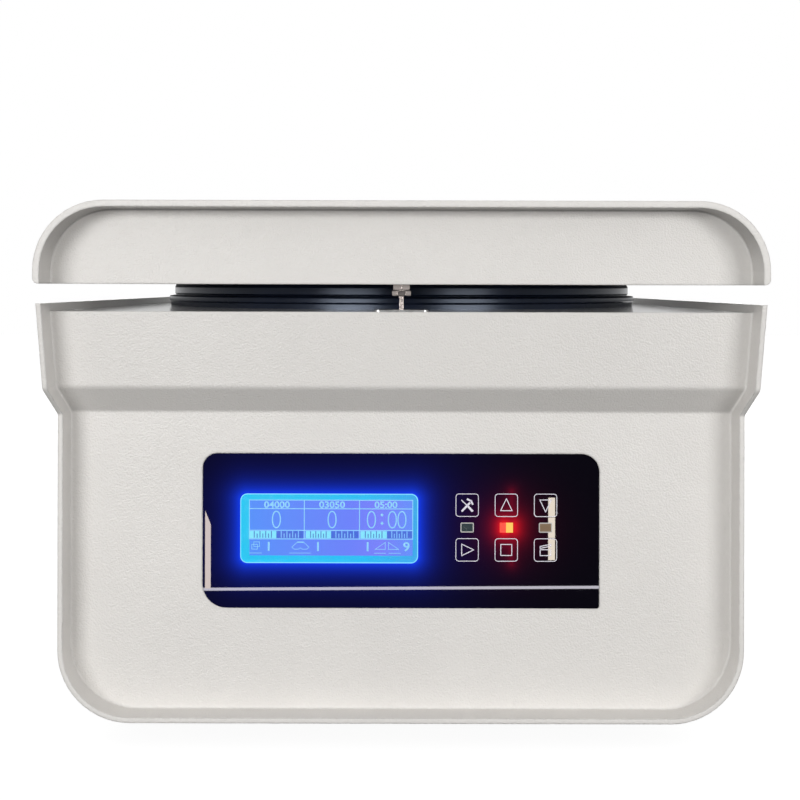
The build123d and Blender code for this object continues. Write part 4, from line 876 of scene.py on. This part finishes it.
def display_picture():
    """Field, lines, numerals and signs of the display."""
    on_display("display_field", [lcd_rectangle(0, 0, 1, 1)], 0, lcd_field_material())
    pale = glow("lcd_pale", srgb(150, 214, 252), 1.0)
    on_display("display_lines", display_lines() + big_zeros() + display_signs(), 1, pale)
    label_row()
    numerals("display_numerals", display_texts(), layer_y(2), pale)


def display_outline():
    """Pale line around the lit display, a painted glow on the panel's face."""
    outline = ring_outline(display_centre, display_half, display_corner, outline_line)
    # Painted glow: the line on the panel gives off cyan light
    link(flat_solid("display_outline", outline, panel_face_y - mark_lift / 2, mark_lift),
         "cabinet", glow("display_edge", srgb(134, 226, 255), 1.0))


key_prints()
indicator_faces()
display_picture()
display_outline()


# Floor and cards that only reflections see

floor_reach = 6.0
floor_grey = (0.16, 0.16, 0.16)
floor_lift = 0.925
card_reach = 1.6
cloth_near_y = -0.40
cloth_far_y = -4.0
cloth_lift = 0.002
edge_left_x = -0.19
edge_y = -0.606
edge_slant = 0.032
edge_width = 0.011
edge_strength = 16.0
bar_strength = 27.0
strip_strength = 22.0
strip_outer_top_z = 0.0860


def floor_material():
    """Matte floor that the camera sees nearly white, with the object's shadow."""
    material, tree, shader = new_material("floor")
    set_inputs(shader, {"Base Color": opaque(floor_grey), "Roughness": 0.9,
                        "Specular IOR Level": 0.1, "Emission Color": opaque(white)})
    seen = tree.nodes.new("ShaderNodeLightPath")
    tree.links.new(math_node(tree, "MULTIPLY", seen.outputs["Is Camera Ray"], floor_lift),
                   shader.inputs["Emission Strength"])
    return material


def card(name, corners, material):
    """Flat four-sided object."""
    mesh = bpy.data.meshes.new(name)
    mesh.from_pydata(corners, [], [(0, 1, 2, 3)])
    obj = bpy.data.objects.new(name, mesh)
    bpy.context.scene.collection.objects.link(obj)
    obj.data.materials.append(material)
    return obj


def level_card(x0, x1, y0, y1, z):
    """Corners of a level rectangle, from its first corner and round."""
    return [(x0, y0, z), (x1, y0, z), (x1, y1, z), (x0, y1, z)]


def upright_card(x0, x1, z0, z1, y):
    """Corners of an upright rectangle that faces the panel."""
    return [(x0, y, z0), (x1, y, z0), (x1, y, z1), (x0, y, z1)]


def floor():
    """Pale floor under the object."""
    corners = level_card(-floor_reach, floor_reach, -floor_reach, floor_reach, 0)
    obj = card("floor", corners, floor_material())


def reflector(name, corners, material):
    """Card in front of the object that only shows as a reflection."""
    obj = card(name, corners, material)
    obj.visible_camera = False
    obj.visible_diffuse = False
    obj.visible_shadow = False
    obj.visible_transmission = False


def dark_cloth_material():
    """Cloth that reflects nearly nothing."""
    material = glow("reflector_dark", black, 0.0, base=(0.004, 0.003, 0.006))
    shader = material.node_tree.nodes["Principled BSDF"]
    set_inputs(shader, {"Roughness": 1.0, "Specular IOR Level": 0.0})
    return material


def bench_edge_corners():
    """Corners of a narrow band that comes nearer to the camera toward the right."""
    z = cloth_lift * 2
    right_y = edge_y - edge_slant * (card_reach - edge_left_x)
    return [(edge_left_x, edge_y - edge_width, z), (card_reach, right_y - edge_width, z),
            (card_reach, right_y, z), (edge_left_x, edge_y, z)]


def reflectors():
    """Dark cloth in front of the bench, the bench's bright edge and upright cards."""
    cloth = level_card(-card_reach, card_reach, cloth_far_y, cloth_near_y, cloth_lift)
    reflector("reflector_cloth", cloth, dark_cloth_material())
    reflector("reflector_bench_edge", bench_edge_corners(),
              glow("reflector_edge", srgb(236, 232, 244), edge_strength))
    right_bar = upright_card(x0=0.1315, x1=0.1376, z0=0.0335, z1=0.0893, y=-0.60)
    reflector("reflector_right_bar", right_bar,
              glow("reflector_bar", srgb(230, 218, 202), bar_strength))
    left_strip = upright_card(x0=-0.1672, x1=-0.1624, z0=0.0193, z1=0.0740, y=-0.55)
    left_strip[3] = (*left_strip[3][:2], strip_outer_top_z)
    reflector("reflector_left_strip", left_strip,
              glow("reflector_strip", srgb(230, 214, 204), strip_strength))
    behind_camera = upright_card(x0=-0.34, x1=0.30, z0=0.02, z1=1.1, y=-1.7)
    reflector("reflector_behind_camera", behind_camera,
              glow("reflector_shade", black, 0.0, base=(0.02, 0.02, 0.024)))


# World, lamps and camera

ambient_level = 0.50
ambient_overhead = 0.42
front_target = (0.0, -0.1, 0.2)
rear_target = (0.0, 0.1, 0.2)
front_lamp_size = (0.9, 0.5)
rear_lamp_size = (0.9, 0.9)


def area_light(name, place, target, size, watts):
    """Soft rectangular lamp that points at a place."""
    data = bpy.data.lights.new(name, "AREA")
    data.shape = "RECTANGLE"
    data.size, data.size_y = size
    data.energy = watts
    obj = bpy.data.objects.new(name, data)
    obj.location = place
    obj.rotation_mode = "QUATERNION"
    obj.rotation_quaternion = (Vector(target) - Vector(place)).to_track_quat("-Z", "Y")
    bpy.context.scene.collection.objects.link(obj)


def studio_world():
    """World that is white to the camera, to glass and to reflections, and an even soft light."""
    world = bpy.data.worlds.new("studio")
    bpy.context.scene.world = world
    world.use_nodes = True
    tree = world.node_tree
    background = tree.nodes["Background"]
    background.inputs["Color"].default_value = opaque(white)
    seen = tree.nodes.new("ShaderNodeLightPath")
    strength = math_node(tree, "MAXIMUM", seen.outputs["Is Camera Ray"],
                         math_node(tree, "MAXIMUM", seen.outputs["Is Transmission Ray"],
                                   seen.outputs["Is Glossy Ray"]))
    upward = axis_values(tree, "Generated")["Z"]
    ambient = span(tree, upward, 0.0, 1.0, ambient_level, ambient_overhead)
    tree.links.new(math_node(tree, "MAXIMUM", strength, ambient), background.inputs["Strength"])


def lamps():
    """Two soft lamps in front of the object and two behind it."""
    area_light("key_lamp", (-0.95, -2.2, 0.52), front_target, front_lamp_size, watts=20.5)
    area_light("fill_lamp", (1.2, -2.1, 0.50), front_target, front_lamp_size, watts=16.0)
    area_light("rear_left_lamp", (-0.9, 2.1, 1.3), rear_target, rear_lamp_size, watts=15.0)
    area_light("rear_right_lamp", (1.0, 2.0, 1.0), rear_target, rear_lamp_size, watts=13.0)


def camera():
    """Camera at the photograph's place and angle."""
    data = bpy.data.cameras.new("camera")
    data.sensor_width = sensor_width
    data.lens = camera_focal_px / image_side_px * sensor_width
    data.shift_x = camera_shift_x
    data.shift_y = -(image_side_px / 2 - horizon_px) / image_side_px
    data.clip_start = camera_clip_start
    obj = bpy.data.objects.new("camera", data)
    obj.location = (0.0, -camera_distance, camera_height)
    obj.rotation_euler = (pi / 2, camera_roll, 0.0)
    bpy.context.scene.collection.objects.link(obj)
    bpy.context.scene.camera = obj


floor()
reflectors()
studio_world()
lamps()
camera()
bpy.context.scene.view_settings.view_transform = "Standard"
